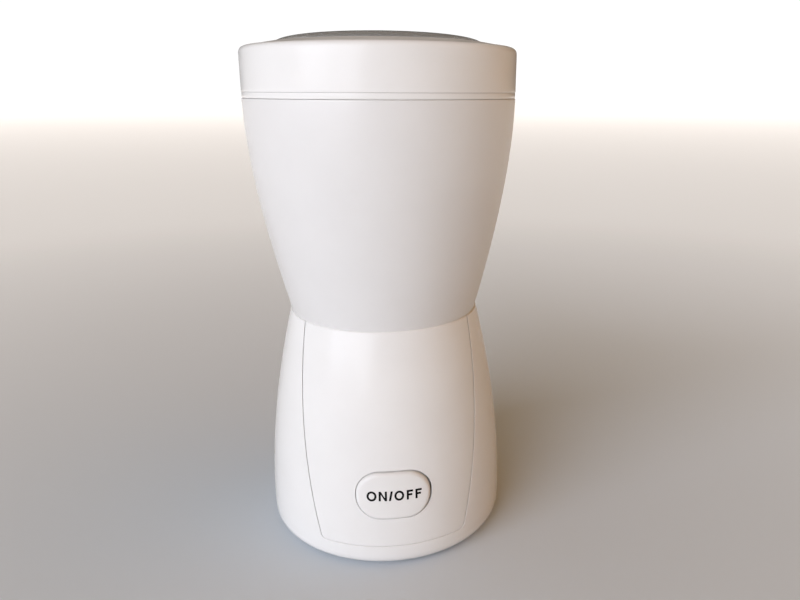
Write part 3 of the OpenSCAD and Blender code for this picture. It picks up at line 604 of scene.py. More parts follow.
@dataclass(frozen=True)
class Stacked(Metal):
    """Metal made of thin layers or turns of wire, laid one on the other along the shaft."""

    PHASE: ClassVar[float] = 20.0  # radians of a wave node's phase in a metre, at a scale of 1
    pitch: float = 0.0005  # metres along the shaft for a radian of a groove
    groove_depth: float = 0.00008
    dark: float = 0.62
    light: float = 1.08

    def dress(self, graph: Surface) -> None:
        """Adds a groove between each layer and the next.

        Args:
            graph: The material's nodes.
        """
        super().dress(graph)
        scale = 1 / (self.pitch * self.PHASE)
        inputs = {"Vector": graph.place, "Scale": scale, "Distortion": 0.4, "Detail": 1.0}
        wave = graph.add("ShaderNodeTexWave", inputs, wave_type="BANDS", bands_direction="Z").outputs["Fac"]
        tone = graph.mix(wave, shaded(self.colour, self.dark), shaded(self.colour, self.light))
        graph.shade({"Base Color": tone, "Normal": graph.bump(wave, self.groove_depth)})


WHITE: Colour = (0.81, 0.795, 0.785)
FINISHES: dict[str, Finish] = {finish.name: finish for finish in (
    GlossPlastic("gloss_white", WHITE, 0.2, 0.04, mottle=0.012, specular=0.16, coat=0.14,
                 coat_roughness=0.15),
    GlossPlastic("satin_white", (0.75, 0.735, 0.73), 0.38, mottle=0.012, coat=0.15, coat_roughness=0.22,
                 relief_scale=2600.0, relief_depth=0.00003),
    Finish("inner_white", (0.74, 0.73, 0.7), 0.5, mottle=0.03),
    Finish("black_plastic", (0.03, 0.03, 0.032), 0.45, mottle=0.15),
    Finish("red_plastic", (0.5, 0.07, 0.05), 0.4, mottle=0.08),
    SmokePlastic("smoke_window", (0.55, 0.555, 0.55), 0.08, 0.03, mottle=0.02, relief_scale=400.0,
                 relief_depth=0.000004),
    Finish("rubber", (0.035, 0.035, 0.036), 0.72, 0.1, mottle=0.2, relief_depth=0.00006),
    Finish("silicone", (0.68, 0.68, 0.66), 0.5, mottle=0.04),
    SpunMetal("polished_steel", (0.62, 0.62, 0.63), 0.16, 0.05, mottle=0.03),
    Metal("steel", (0.5, 0.505, 0.515), 0.36, mottle=0.06),
    Stacked("lamination", (0.3, 0.3, 0.32), 0.42, mottle=0.08),
    Stacked("copper", (0.62, 0.26, 0.12), 0.36, mottle=0.06, pitch=0.0007),
    Metal("brass", (0.66, 0.47, 0.2), 0.36, mottle=0.06),
    Finish("carbon", (0.022, 0.022, 0.023), 0.55, mottle=0.25, relief_depth=0.00005),
    Finish("wire_sleeve", (0.03, 0.07, 0.25), 0.4, mottle=0.1),
    Finish("ceramic_tube", (0.72, 0.7, 0.64), 0.6, mottle=0.06),
    Finish("print_black", (0.004, 0.004, 0.004), 0.5, mottle=0.2, relief_scale=4000.0, relief_depth=0.000006,
           specular=0.15),
)}


@dataclass
class Palette:
    """Materials made once for each finish."""

    made: dict[str, bpy.types.Material] = field(default_factory=dict)

    def material(self, name: str) -> bpy.types.Material:
        """The material of a finish.

        Args:
            name: The finish's name.

        Returns:
            The material, which is made when it is first asked for.
        """
        if name not in self.made:
            self.made[name] = FINISHES[name].material()
        return self.made[name]

    def dress(self, piece: bpy.types.Object, name: str) -> None:
        """Gives a piece one finish all over.

        Args:
            piece: The object.
            name: The finish's name.
        """
        piece.data.materials.clear()
        piece.data.materials.append(self.material(name))
        for polygon in piece.data.polygons:
            polygon.material_index = 0


@dataclass
class Assembly:
    """Pieces that ride on one body."""

    palette: Palette
    body: ClassVar[Body] = Body.ROOT

    def mount(self, piece: bpy.types.Object, finish: str, node: str = "", slot: str = "") -> bpy.types.Object:
        """Dresses a piece and puts it on its body.

        Args:
            piece: The object.
            finish: Name of its finish.
            node: The CAD node that it stands for, if there is one.
            slot: The record's slot, where that isn't the finish; it is not used.

        Returns:
            The object.
        """
        self.palette.dress(piece, finish)
        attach(piece, self.body.value)
        if node:
            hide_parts(node)
        return piece


# ---------- the shells' common form ----------


@dataclass(frozen=True)
class Form:
    """Sizes and lines of the outside that several pieces share."""

    foot_h: float = 1.5
    base_h: float = 86.1
    upper_h: float = 76.8
    lid_r: float = 47.995
    waist_r: float = 35.6
    belly_r: float = 45.9
    belly_z: float = 8.5
    belly_pull: float = 36.0
    bottom_r: float = 45.75
    bottom_round: float = 4.4
    bottom_rise: float = 5.0
    flare_pull: float = 48.8
    wall: float = 2.4
    rim_round: float = 0.7
    seat_r: float = 40.9

    @property
    def z_waist(self) -> float:
        """Height of the waist."""
        return self.foot_h + self.base_h

    @property
    def z_seam(self) -> float:
        """Height of the parting line under the ring."""
        return self.z_waist + self.upper_h

    @property
    def neck_r(self) -> float:
        """Radius of the upper casing where it leaves the base's rim."""
        return self.waist_r - self.rim_round

    def base_line(self) -> list[Point]:
        """Outline of the base from the top of its rim down to its underside.

        Returns:
            The points, as radius and height.
        """
        z_belly = self.foot_h + self.belly_z
        z_edge = self.foot_h + self.bottom_rise
        rim = arc((self.neck_r, self.z_waist - self.rim_round), self.rim_round, 90, 0, 12)
        flank = bend((self.waist_r, self.z_waist - self.rim_round), (self.belly_r, z_belly + self.belly_pull),
                     (self.belly_r, z_belly), 160)
        z_middle = (z_belly + z_edge) / 2
        belly = bend((self.belly_r, z_belly), (self.belly_r, z_middle), (self.bottom_r, z_edge), 24)
        edge = [(self.bottom_r - self.bottom_round * (1 - x), z_edge + self.bottom_rise * z)
                for x, z in arc((0.0, 0.0), 1.0, 0, -90, 20)]
        return rim + flank[1:] + belly[1:] + edge[1:]

    def flare_line(self) -> list[Point]:
        """Outline of the upper casing from the waist to the parting line."""
        return bend((self.neck_r, self.z_waist), (self.lid_r, self.z_waist + self.flare_pull),
                    (self.lid_r, self.z_seam), 96)


class Flank:
    """The base's outside, measured along its outline from the top of the rim downwards."""

    LOW = 0.8  # share of the outline's length below which the wall makes room for the seat

    def __init__(self, form: Form) -> None:
        """Measures the outline of a form.

        Args:
            form: The form.
        """
        self.form = form
        line = np.array(form.base_line())
        self.radii, self.heights = line[:, 0], line[:, 1]
        steps = np.hypot(np.diff(self.radii), np.diff(self.heights))
        self.lengths = np.concatenate([[0.0], np.cumsum(steps)])
        self.total = float(self.lengths[-1])

    def height(self, along: np.ndarray) -> np.ndarray:
        """Height at a length along the outline."""
        return np.interp(along, self.lengths, self.heights)

    def outer(self, along: np.ndarray) -> np.ndarray:
        """Radius of the outside."""
        return np.interp(along, self.lengths, self.radii)

    def core(self, along: np.ndarray, depth: float) -> np.ndarray:
        """Radius of the outside without the rim's rounding, drawn in by a depth."""
        straight = self.height(along) > self.form.z_waist - self.form.rim_round
        return np.where(straight, self.form.waist_r, self.outer(along)) - depth

    def inner(self, along: np.ndarray) -> np.ndarray:
        """Radius of the wall's inner face, which keeps clear of the base plate's seat low down."""
        low = along > self.total * self.LOW
        return np.maximum(self.core(along, self.form.wall), self.form.seat_r * low)

    def along(self, height: np.ndarray) -> np.ndarray:
        """Length along the outline at a height."""
        return np.interp(height, self.heights[::-1], self.lengths[::-1])

    def front(self, x: np.ndarray, along: np.ndarray, radius: np.ndarray) -> np.ndarray:
        """Points on the front, at a distance from the middle plane and a radius."""
        y = -np.sqrt(np.maximum(radius**2 - x**2, 0.0))
        return np.stack([x, y, self.height(along)], axis=1)

    def round(self, angle: np.ndarray, along: np.ndarray, radius: np.ndarray) -> np.ndarray:
        """Points all round, at an angle from the front and a radius."""
        return np.stack([radius * np.sin(angle), -radius * np.cos(angle), self.height(along)], axis=1)


@dataclass(frozen=True)
class PanelOutline:
    """Outline of the front panel, open at the rim, and of the gap round it."""

    half_w: float = 31.2
    mid_z: float = 58.0
    side_r: float = 226.0
    foot_z: float = 10.0
    corner_r: float = 2.0
    least_r: float = 0.3
    rim_l: float = 1.2
    groove: float = 0.12
    lap_t: float = 1.2
    lap_w: float = 2.5
    edge_round: float = 0.28
    rim_steps: int = 8
    side_steps: int = 38
    heel_steps: int = 34
    heel_l: float = 10.0
    corner_steps: int = 10
    foot_steps: int = 60
    round_steps: int = 5

    def half(self, height: np.ndarray, inset: float) -> np.ndarray:
        """Half of the width at a height, drawn in by an inset."""
        return self.half_w - inset - self.side_r + np.sqrt(self.side_r**2 - (height - self.mid_z) ** 2)

    def side(self, flank: Flank, inset: float, top: float) -> Path:
        """The right-hand side and half of the foot.

        Args:
            flank: The outside that the panel lies in.
            inset: How far the outline is drawn in; it is let out where this is negative.
            top: Length along the flank at which the side starts.

        Returns:
            Distances from the middle plane, and lengths along the flank.
        """
        corner = max(self.corner_r - inset, self.least_r)
        foot = self.foot_z + inset
        low = foot + corner
        end = float(flank.along(low))
        rim_end = max(self.rim_l, top + self.least_r)
        rim = np.linspace(top, rim_end, self.rim_steps, endpoint=False)
        run = np.linspace(rim_end, end - self.heel_l, self.side_steps, endpoint=False)
        heel = np.linspace(end - self.heel_l, end, self.heel_steps + 1)
        along = np.concatenate([rim, run, heel])
        x = self.half(flank.height(along), inset)
        turn = np.radians(np.linspace(0, -90, self.corner_steps + 1))[1:]
        middle = float(x[-1]) - corner
        bend_x = middle + corner * np.cos(turn)
        bend_z = low + corner * np.sin(turn)
        foot_x = np.linspace(middle, 0.0, self.foot_steps + 1)[1:]
        foot_z = np.full(self.foot_steps, foot)
        x = np.concatenate([x, bend_x, foot_x])
        along = np.concatenate([along, flank.along(np.concatenate([bend_z, foot_z]))])
        return x, along

    def path(self, flank: Flank, inset: float, top: float = 0.0) -> Path:
        """The whole outline from the rim on the right, under the foot, to the rim on the left."""
        x, along = self.side(flank, inset, top)
        return np.concatenate([x, -x[-2::-1]]), np.concatenate([along, along[-2::-1]])

    @property
    def side_count(self) -> int:
        """Points of one side, down to the start of the corner."""
        return self.rim_steps + self.side_steps + self.heel_steps + 1


@dataclass(frozen=True)
class ButtonOutline:
    """Outline of the push button, its place and the collar that guides it."""

    width: float = 26.3
    height: float = 17.4
    corner_r: float = 8.4
    centre_z: float = 30.2
    axis_z: float = 29.5
    proud: float = 0.9
    gap: float = 0.4
    collar_t: float = 1.8
    collar_y: float = 36.9

    def reach(self, angle: float, grow: float) -> float:
        """Distance from the centre to the outline in one direction.

        Args:
            angle: Direction in radians, from +X towards +Z.
            grow: How far the outline is let out.

        Returns:
            The distance.
        """
        radius = self.corner_r + grow
        a, b = self.width / 2 + grow, self.height / 2 + grow
        ux, uz = abs(math.cos(angle)), abs(math.sin(angle))
        if ux > 1e-9 and a / ux * uz <= b - radius:
            return a / ux
        if uz > 1e-9 and b / uz * ux <= a - radius:
            return b / uz
        cx, cz = a - radius, b - radius
        across = ux * cx + uz * cz
        return across + math.sqrt(max(across**2 - (cx**2 + cz**2 - radius**2), 0.0))

    def loop(self, angles: np.ndarray, grow: float) -> Path:
        """Points of the outline as x and z, in given directions."""
        reach = np.array([self.reach(float(a), grow) for a in angles])
        return reach * np.cos(angles), self.centre_z + reach * np.sin(angles)


# ---------- base ----------


@dataclass
class Base(Assembly):
    """Lower casing, its front panel, the feet and the cord inlet."""

    form: Form
    panel: PanelOutline = PanelOutline()
    button: ButtonOutline = ButtonOutline()
    back_rings: int = 60
    crowding: float = 1.25
    face_rings: int = 44
    rim_points: int = 60
    rim_gap: float = 0.6
    margins: tuple[float, ...] = (1.6, 1.2, 0.9, 0.65)
    fade_l: float = 0.9
    opening_round: float = 0.3
    post_x: float = 19.8
    post_r: float = 3.0
    post_end_y: float = -32.9
    post_l: float = 5.9
    pilot_r: float = 1.5
    pilot_l: float = 5.0
    inlet: Place = (0.0, 0.0, 15.0)
    fit: float = 0.1
    overrun: float = 6.0
    pad_r: float = 8.5
    pad_y: tuple[float, float] = (42.4, 46.4)
    gland_r: float = 5.4
    flange_r: float = 7.0
    flange_t: float = 1.4
    cord_r: float = 3.6
    foot_d: float = 32.0
    foot_r: float = 5.5
    foot_top: float = 2.6
    foot_ring: float = 0.55
    foot_round: float = 0.8
    foot_angles: tuple[float, ...] = (45.0, 135.0, 225.0, 315.0)
    boss_d: float = 35.5
    boss_r: float = 4.2
    boss_z: tuple[float, float] = (5.7, 17.7)
    boss_angles: tuple[float, ...] = (20.0, 160.0, 200.0, 340.0)

    def __post_init__(self) -> None:
        """Measures the flank once."""
        self.flank = Flank(self.form)

    @property
    def bore_r(self) -> float:
        """Radius of the hole that the cord's bush sits in."""
        return self.gland_r + self.fit

    def build(self) -> list[bpy.types.Object]:
        """Builds every piece of the base.

        Returns:
            The pieces, dressed and riding on the frame.
        """
        return [self.mount(self.casing(), "gloss_white", "base_casing"),
                self.mount(self.front(), "gloss_white", "front_panel"),
                self.mount(self.feet(), "rubber", "rubber_feet"),
                self.mount(self.gland(), "rubber", "cable_gland")]

    def casing(self) -> bpy.types.Object:
        """The casing: one skin from the panel's ledge round the back, and its inner face.

        Returns:
            The casing, with its bosses.
        """
        skin = Skin()
        flank, panel = self.flank, self.panel
        ledge = panel.path(flank, panel.lap_w)
        edge = panel.path(flank, 0.0)
        sections = [
            self.seat(ledge, flank.inner(ledge[1])),
            self.seat(ledge, flank.core(ledge[1], panel.lap_t)),
            self.seat(edge, flank.core(edge[1], panel.lap_t)),
        ]
        for out, depth in rounding(panel.edge_round, panel.round_steps)[:-1]:
            path = panel.path(flank, -out)
            sections.append(self.seat(path, flank.outer(path[1]) - depth))
        start = panel.path(flank, -panel.edge_round)
        angle = np.arcsin(start[0] / flank.outer(start[1]))
        far_angle, far_along = self.far_path(start[1])
        outside, inside = [], []
        for i in range(self.back_rings + 1):
            t = (i / self.back_rings) ** self.crowding
            a = angle + (far_angle - angle) * t
            w = start[1] + (far_along - start[1]) * t
            outside.append(flank.round(a, w, flank.outer(w)))
            inside.append(flank.round(a, w, flank.inner(w)))
        front = [skin.loop(points) for points in sections]
        outer = [skin.loop(points) for points in outside]
        inner = [skin.loop(points) for points in inside]
        skin.chain(front + outer, closed=False)
        skin.chain(inner, closed=False)
        skin.bridge(inner[0], front[0], closed=False)
        count = panel.side_count
        skin.bridge(outer[-1][count - 1:-count + 1], inner[-1][count - 1:-count + 1], closed=False)
        for end in (0, -1):
            skin.face([loop[end] for loop in front + [outer[0], inner[0]]])
            for i in range(self.back_rings):
                skin.face((outer[i][end], outer[i + 1][end], inner[i + 1][end], inner[i][end]))
        piece = skin.make("base_casing_shell")
        span = (self.pad_y[0] - self.overrun, self.pad_y[1] + self.overrun)
        carve(piece, rod(self.bore_r, span, 96, Axis.REARWARDS, self.inlet))
        join(piece, self.bosses())
        return piece

    def seat(self, path: Path, radius: np.ndarray) -> np.ndarray:
        """Points of a path on the front at a radius."""
        return self.flank.front(path[0], path[1], radius)

    def far_path(self, along: np.ndarray) -> Path:
        """Where each point of the panel's outline ends, down the back's middle or round the bottom edge.

        Args:
            along: Lengths along the flank of the points that the rings start from.

        Returns:
            Angles from the front, and lengths along the flank.
        """
        count = self.panel.side_count
        half = (len(along) + 1) // 2
        end = float(along[count - 1])
        low = end - self.panel.heel_l
        side = along[:count].copy()
        heel = side > low
        side[heel] = low + (side[heel] - low) * (self.flank.total - low) / self.panel.heel_l
        around = np.linspace(math.pi, 0.0, half - count + 1)[1:]
        angle = np.concatenate([np.full(count, math.pi), around])
        length = np.concatenate([side, np.full(half - count, self.flank.total)])
        return np.concatenate([angle, -angle[-2::-1]]), np.concatenate([length, length[-2::-1]])

    def bosses(self) -> bpy.types.Object:
        """The screw bosses, and the pad round the cord inlet.

        Returns:
            All of them as one object.
        """
        skin = Skin()
        low, high = self.boss_z
        outline = rounded([(self.pilot_r, low, 0.2), (self.boss_r, low, 0.3), (self.boss_r, high, 0.3),
                           (self.pilot_r, high, 0.2)], 2)
        for angle in self.boss_angles:
            skin.turned(outline, 40, at=around(self.boss_d, angle))
        near, far = self.pad_y
        pad = rounded([(self.bore_r, near, 0.1), (self.pad_r, near, 0.3), (self.pad_r, far, 0.5),
                       (self.bore_r, far, 0.1)])
        skin.turned(pad, 96, Axis.REARWARDS, self.inlet)
        return skin.make("casing_bosses")

    def front(self) -> bpy.types.Object:
        """The front panel: rings from the button's opening to its outline and back behind, and two posts.

        Returns:
            The panel.
        """
        skin = Skin()
        flank, panel, button = self.flank, self.panel, self.button
        angles = self.directions(*self.closed(panel.groove + self.rim_gap, self.rim_gap))
        loops = [self.hole(angles, grow, depth) for grow, depth in self.hole_edge()]
        inner = button.loop(angles, button.gap + self.opening_round)
        inner_along = flank.along(inner[1])
        edge = rounding(panel.edge_round, panel.round_steps)[::-1]
        outer = self.closed(panel.groove + self.margins[0], self.margins[0])
        for i in range(1, self.face_rings):
            t = i / self.face_rings
            x = inner[0] + (outer[0] - inner[0]) * t
            w = inner_along + (outer[1] - inner_along) * t
            loops.append(flank.front(x, w, flank.outer(w)))
        for margin, depth in [(margin, 0.0) for margin in self.margins] + edge:
            x, w = self.closed(panel.groove + margin, margin)
            sunk = depth * np.clip(w / self.fade_l, 0.0, 1.0)
            loops.append(flank.front(x, w, flank.outer(w) - sunk))
        lap = panel.lap_w + self.fit
        for inset, depth in ((panel.groove, panel.lap_t), (lap, panel.lap_t), (lap, self.form.wall)):
            x, w = self.closed(inset, 0.0)
            loops.append(flank.front(x, w, flank.core(w, depth)))
        collar = button.loop(angles, button.gap + button.collar_t)
        collar_along = flank.along(collar[1])
        x0, w0 = self.closed(lap, 0.0)
        for i in range(1, self.face_rings + 1):
            t = i / self.face_rings
            x = x0 + (collar[0] - x0) * t
            w = w0 + (collar_along - w0) * t
            loops.append(flank.front(x, w, flank.core(w, self.form.wall)))
        for grow in (button.gap + button.collar_t, button.gap):
            x, z = button.loop(angles, grow)
            loops.append(at_depth(x, -button.collar_y, z))
        skin.swept(loops, ring=True)
        end, root, pilot = self.post_end_y, self.post_end_y - self.post_l, self.post_end_y - self.pilot_l
        post = [(0.0, pilot), (self.pilot_r, pilot), (self.pilot_r, end), (self.post_r, end),
                (self.post_r, root), (0.0, root)]
        for x in (-self.post_x, self.post_x):
            skin.turned(post, 32, Axis.REARWARDS, (x, 0.0, button.axis_z), ring=False)
        return skin.make("front_panel_shell")

    def closed(self, inset: float, top: float) -> Path:
        """The panel's outline closed along the rim.

        Args:
            inset: How far it is drawn in.
            top: Length along the flank at which it starts and ends.

        Returns:
            Distances from the middle plane, and lengths along the flank.
        """
        x, along = self.panel.path(self.flank, inset, top)
        closing = np.linspace(x[-1], x[0], self.rim_points + 2)[1:-1]
        return np.concatenate([x, closing]), np.concatenate([along, np.full(self.rim_points, top)])

    def directions(self, x: np.ndarray, along: np.ndarray) -> np.ndarray:
        """Directions from the button's centre to points of the panel's outline."""
        return np.arctan2(self.flank.height(along) - self.button.centre_z, x)

    def hole_edge(self) -> list[Point]:
        """Steps of the opening's rounded edge, from its wall to the panel's face."""
        return [(self.button.gap + out, depth) for out, depth in rounding(self.opening_round, 5)]

    def hole(self, angles: np.ndarray, grow: float, depth: float) -> np.ndarray:
        """Points round the button's opening.

        Args:
            angles: Their directions from the button's centre.
            grow: How far outside the button's outline they lie.
            depth: How deep they lie under the panel's face.

        Returns:
            The points.
        """
        x, z = self.button.loop(angles, grow)
        along = self.flank.along(z)
        return self.flank.front(x, along, self.flank.outer(along) - depth)

    def feet(self) -> bpy.types.Object:
        """Four rubber feet with a soft edge and a shallow ring underneath.

        Returns:
            The feet as one object.
        """
        ring_r, edge_r = self.foot_r * self.foot_ring, self.foot_r - self.foot_round
        side = arc((edge_r, self.foot_round), self.foot_round, -70, 0, 6)
        outline = [(0.0, 0.25), (ring_r - 0.5, 0.25), (ring_r, 0.0), (edge_r, 0.0), *side,
                   (self.foot_r, self.foot_top - 0.2), (self.foot_r - 0.2, self.foot_top),
                   (0.0, self.foot_top)]
        skin = Skin()
        for angle in self.foot_angles:
            skin.turned(outline, 48, at=around(self.foot_d, angle), ring=False)
        return skin.make("rubber_feet_soft")

    def gland(self) -> bpy.types.Object:
        """The cord inlet: a flanged rubber bush with two ribs in its mouth.

        Returns:
            The bush.
        """
        near, far = self.pad_y
        y_in, y_out = near - self.flange_t, far + self.flange_t
        bore, inside_r = self.cord_r, self.flange_r - 0.4
        corners = [(bore, y_in, 0.3), (inside_r, y_in, 0.5), (inside_r, near, 0.1), (self.gland_r, near, 0.1),
                   (self.gland_r, far, 0.1), (self.flange_r, far, 0.1), (self.flange_r, y_out, 0.6),
                   (bore + 0.7, y_out, 0.4)]
        ribs = ((0.7, 0.8), (0.0, 1.1), (0.0, 1.6), (0.5, 1.9), (0.5, 2.5), (0.0, 2.8))
        outline = rounded(corners, 4) + [(bore + out, y_out - depth) for out, depth in ribs]
        skin = Skin()
        skin.turned(outline, 72, Axis.REARWARDS, self.inlet)
        return skin.make("cable_gland_bush")


# ---------- button ----------


@dataclass
class Button(Assembly):
    """The push button with its lettering."""

    body: ClassVar[Body] = Body.BUTTON
    form: Form
    outline: ButtonOutline = ButtonOutline()
    steps: int = 168
    face_rings: int = 18
    edge_round: float = 1.3
    grow: float = 0.06
    seat: tuple[float, float] = (-0.2, -0.1)
    flange_y: tuple[float, float] = (-36.6, -35.4)
    flange_out: float = 1.6
    wall: float = 1.8
    face_t: float = 2.2
    stem_r: float = 2.2
    stem_y: float = -34.2
    word_w: float = 19.4
    word_z: float = 30.6
    cap_h: float = 3.6
    overshoot: float = 0.08
    stroke: float = 0.74
    print_t: float = 0.05
    clear: float = 0.004
    diagonal: float = 1.5
    arm_z: float = 0.6
    arm_w: float = 0.88
    bar_steps: int = 8
    curve_steps: int = 64

    def __post_init__(self) -> None:
        """Measures the flank once."""
        self.flank = Flank(self.form)

    def build(self) -> list[bpy.types.Object]:
        """Builds the button and its word.

        Returns:
            Both pieces, riding on the button's body.
        """
        return [self.mount(self.cap(), "gloss_white", "power_button"),
                self.mount(self.word(), "print_black", slot="black_plastic")]

    def on_face(self, x: np.ndarray, z: np.ndarray, depth: float | np.ndarray) -> np.ndarray:
        """Points on the button's face, sunk by a depth."""
        along = self.flank.along(z)
        return self.flank.front(x, along, self.flank.core(along, 0.0) + self.outline.proud - depth)

    def edge(self, angles: np.ndarray, grow: float) -> Path:
        """The cap's outline, which fills most of the gap and sits a little low in its opening."""
        x, z = self.outline.loop(angles, self.grow + grow)
        return x + self.seat[0], z + self.seat[1]

    def cap(self) -> bpy.types.Object:
        """The moulding: face, rounded edge, skirt, flange, hollow and stem.

        Returns:
            The cap.
        """
        angles = np.linspace(0, 2 * math.pi, self.steps, endpoint=False)
        skin = Skin()
        centre_z = np.array([self.outline.centre_z])
        loops = [self.on_face(np.zeros(1), centre_z, 0.0)]
        rim_x, rim_z = self.edge(angles, -self.edge_round)
        for i in range(1, self.face_rings + 1):
            t = i / self.face_rings
            loops.append(self.on_face(rim_x * t, centre_z + (rim_z - centre_z) * t, 0.0))
        for out, depth in rounding(self.edge_round, 8)[-2::-1]:
            x, z = self.edge(angles, -out)
            loops.append(self.on_face(x, z, depth))
        for grow, y in ((0.0, self.flange_y[0]), (self.flange_out, self.flange_y[0]),
                        (self.flange_out, self.flange_y[1]), (-self.wall, self.flange_y[1])):
            x, z = self.edge(angles, grow)
            loops.append(at_depth(x, y, z))
        x, z = self.edge(angles, -self.wall)
        loops.append(self.on_face(x, z, self.face_t))
        stem_x = self.stem_r * np.cos(angles)
        stem_z = self.outline.axis_z + self.stem_r * np.sin(angles)
        loops.append(self.on_face(stem_x, stem_z, self.face_t))
        loops.append(at_depth(stem_x, self.stem_y, stem_z))
        loops.append(np.array([[0.0, self.stem_y, self.outline.axis_z]]))
        skin.chain([skin.loop(points) for points in loops])
        return skin.make("power_button_cap")

    def word(self) -> bpy.types.Object:
        """The printed word ON/OFF, as thin pads that follow the face.

        Returns:
            The word.
        """
        skin = Skin()
        letters = ((self.letter_o, 3.45, 0.74), (self.letter_n, 2.9, 0.62), (self.slash, 1.45, 0.52),
                   (self.letter_o, 3.45, 0.92), (self.letter_f, 2.25, 0.86), (self.letter_f, 2.25, 0.0))
        scale = self.word_w / sum(width + gap for _, width, gap in letters)
        x = -self.word_w / 2
        for draw, width, gap in letters:
            draw(skin, x, width * scale)
            x += (width + gap) * scale
        return skin.make("button_word")

    def pad(self, skin: Skin, first: Sequence[Point], second: Sequence[Point], ring: bool = False) -> None:
        """Adds a thin pad between two lines.

        Args:
            skin: The mesh that the pad goes into.
            first: Points of one line, as x and z.
            second: Points of the other line, as many.
            ring: Whether both lines are closed.
        """
        a, b = np.array(first), np.array(second)
        out, sunk = -self.print_t, self.print_t
        corners = [self.on_face(line[:, 0], line[:, 1], depth)
                   for line, depth in ((a, out), (b, out), (b, sunk), (a, sunk))]
        skin.swept([np.array([corner[i] for corner in corners]) for i in range(len(a))], ring)

    def bar(self, skin: Skin, start: Point, end: Point, across: Point) -> None:
        """Adds a straight stroke.

        Args:
            skin: The mesh that the stroke goes into.
            start: Its first point, as x and z.
            end: Its last point.
            across: From one side of the stroke to the other.
        """
        shares = [i / self.bar_steps for i in range(self.bar_steps + 1)]
        first = [(start[0] + (end[0] - start[0]) * t, start[1] + (end[1] - start[1]) * t) for t in shares]
        self.pad(skin, first, [(x + across[0], z + across[1]) for x, z in first])

    @property
    def span(self) -> Point:
        """Heights of a letter's foot and head."""
        return self.word_z - self.cap_h / 2, self.word_z + self.cap_h / 2

    def letter_o(self, skin: Skin, x: float, width: float) -> None:
        """Draws an O.

        Args:
            skin: The mesh that the letter goes into.
            x: Its left edge.
            width: Its width.
        """
        middle, wide, tall = x + width / 2, width / 2, self.cap_h / 2 + self.overshoot
        angles = [2 * math.pi * i / self.curve_steps for i in range(self.curve_steps)]
        lines = [[(middle + (wide - inset) * math.cos(a), self.word_z + (tall - inset) * math.sin(a))
                  for a in angles] for inset in (0.0, self.stroke)]
        self.pad(skin, *lines, ring=True)

    def letter_n(self, skin: Skin, x: float, width: float) -> None:
        """Draws an N.

        Args:
            skin: The mesh that the letter goes into.
            x: Its left edge.
            width: Its width.
        """
        low, high = self.span
        s, near = self.stroke, self.clear
        steep = s * self.diagonal
        self.bar(skin, (x, low), (x, high), (s, 0.0))
        self.bar(skin, (x + width - s, low), (x + width - s, high), (s, 0.0))
        self.bar(skin, (x + s + near, high), (x + width - s - near, low + steep), (0.0, -steep))

    def slash(self, skin: Skin, x: float, width: float) -> None:
        """Draws a slash whose left edge is at x."""
        low, high = self.span
        self.bar(skin, (x, low), (x + width - self.stroke, high), (self.stroke, 0.0))

    def letter_f(self, skin: Skin, x: float, width: float) -> None:
        """Draws an F.

        Args:
            skin: The mesh that the letter goes into.
            x: Its left edge.
            width: Its width.
        """
        low, high = self.span
        s = self.stroke
        root, middle = x + s + self.clear, self.word_z + s * self.arm_z
        self.bar(skin, (x, low), (x, high), (s, 0.0))
        self.bar(skin, (root, high), (x + width, high), (0.0, -s))
        self.bar(skin, (root, middle), (x + width * self.arm_w, middle), (0.0, -s))


# ---------- upper casing and bowl ----------


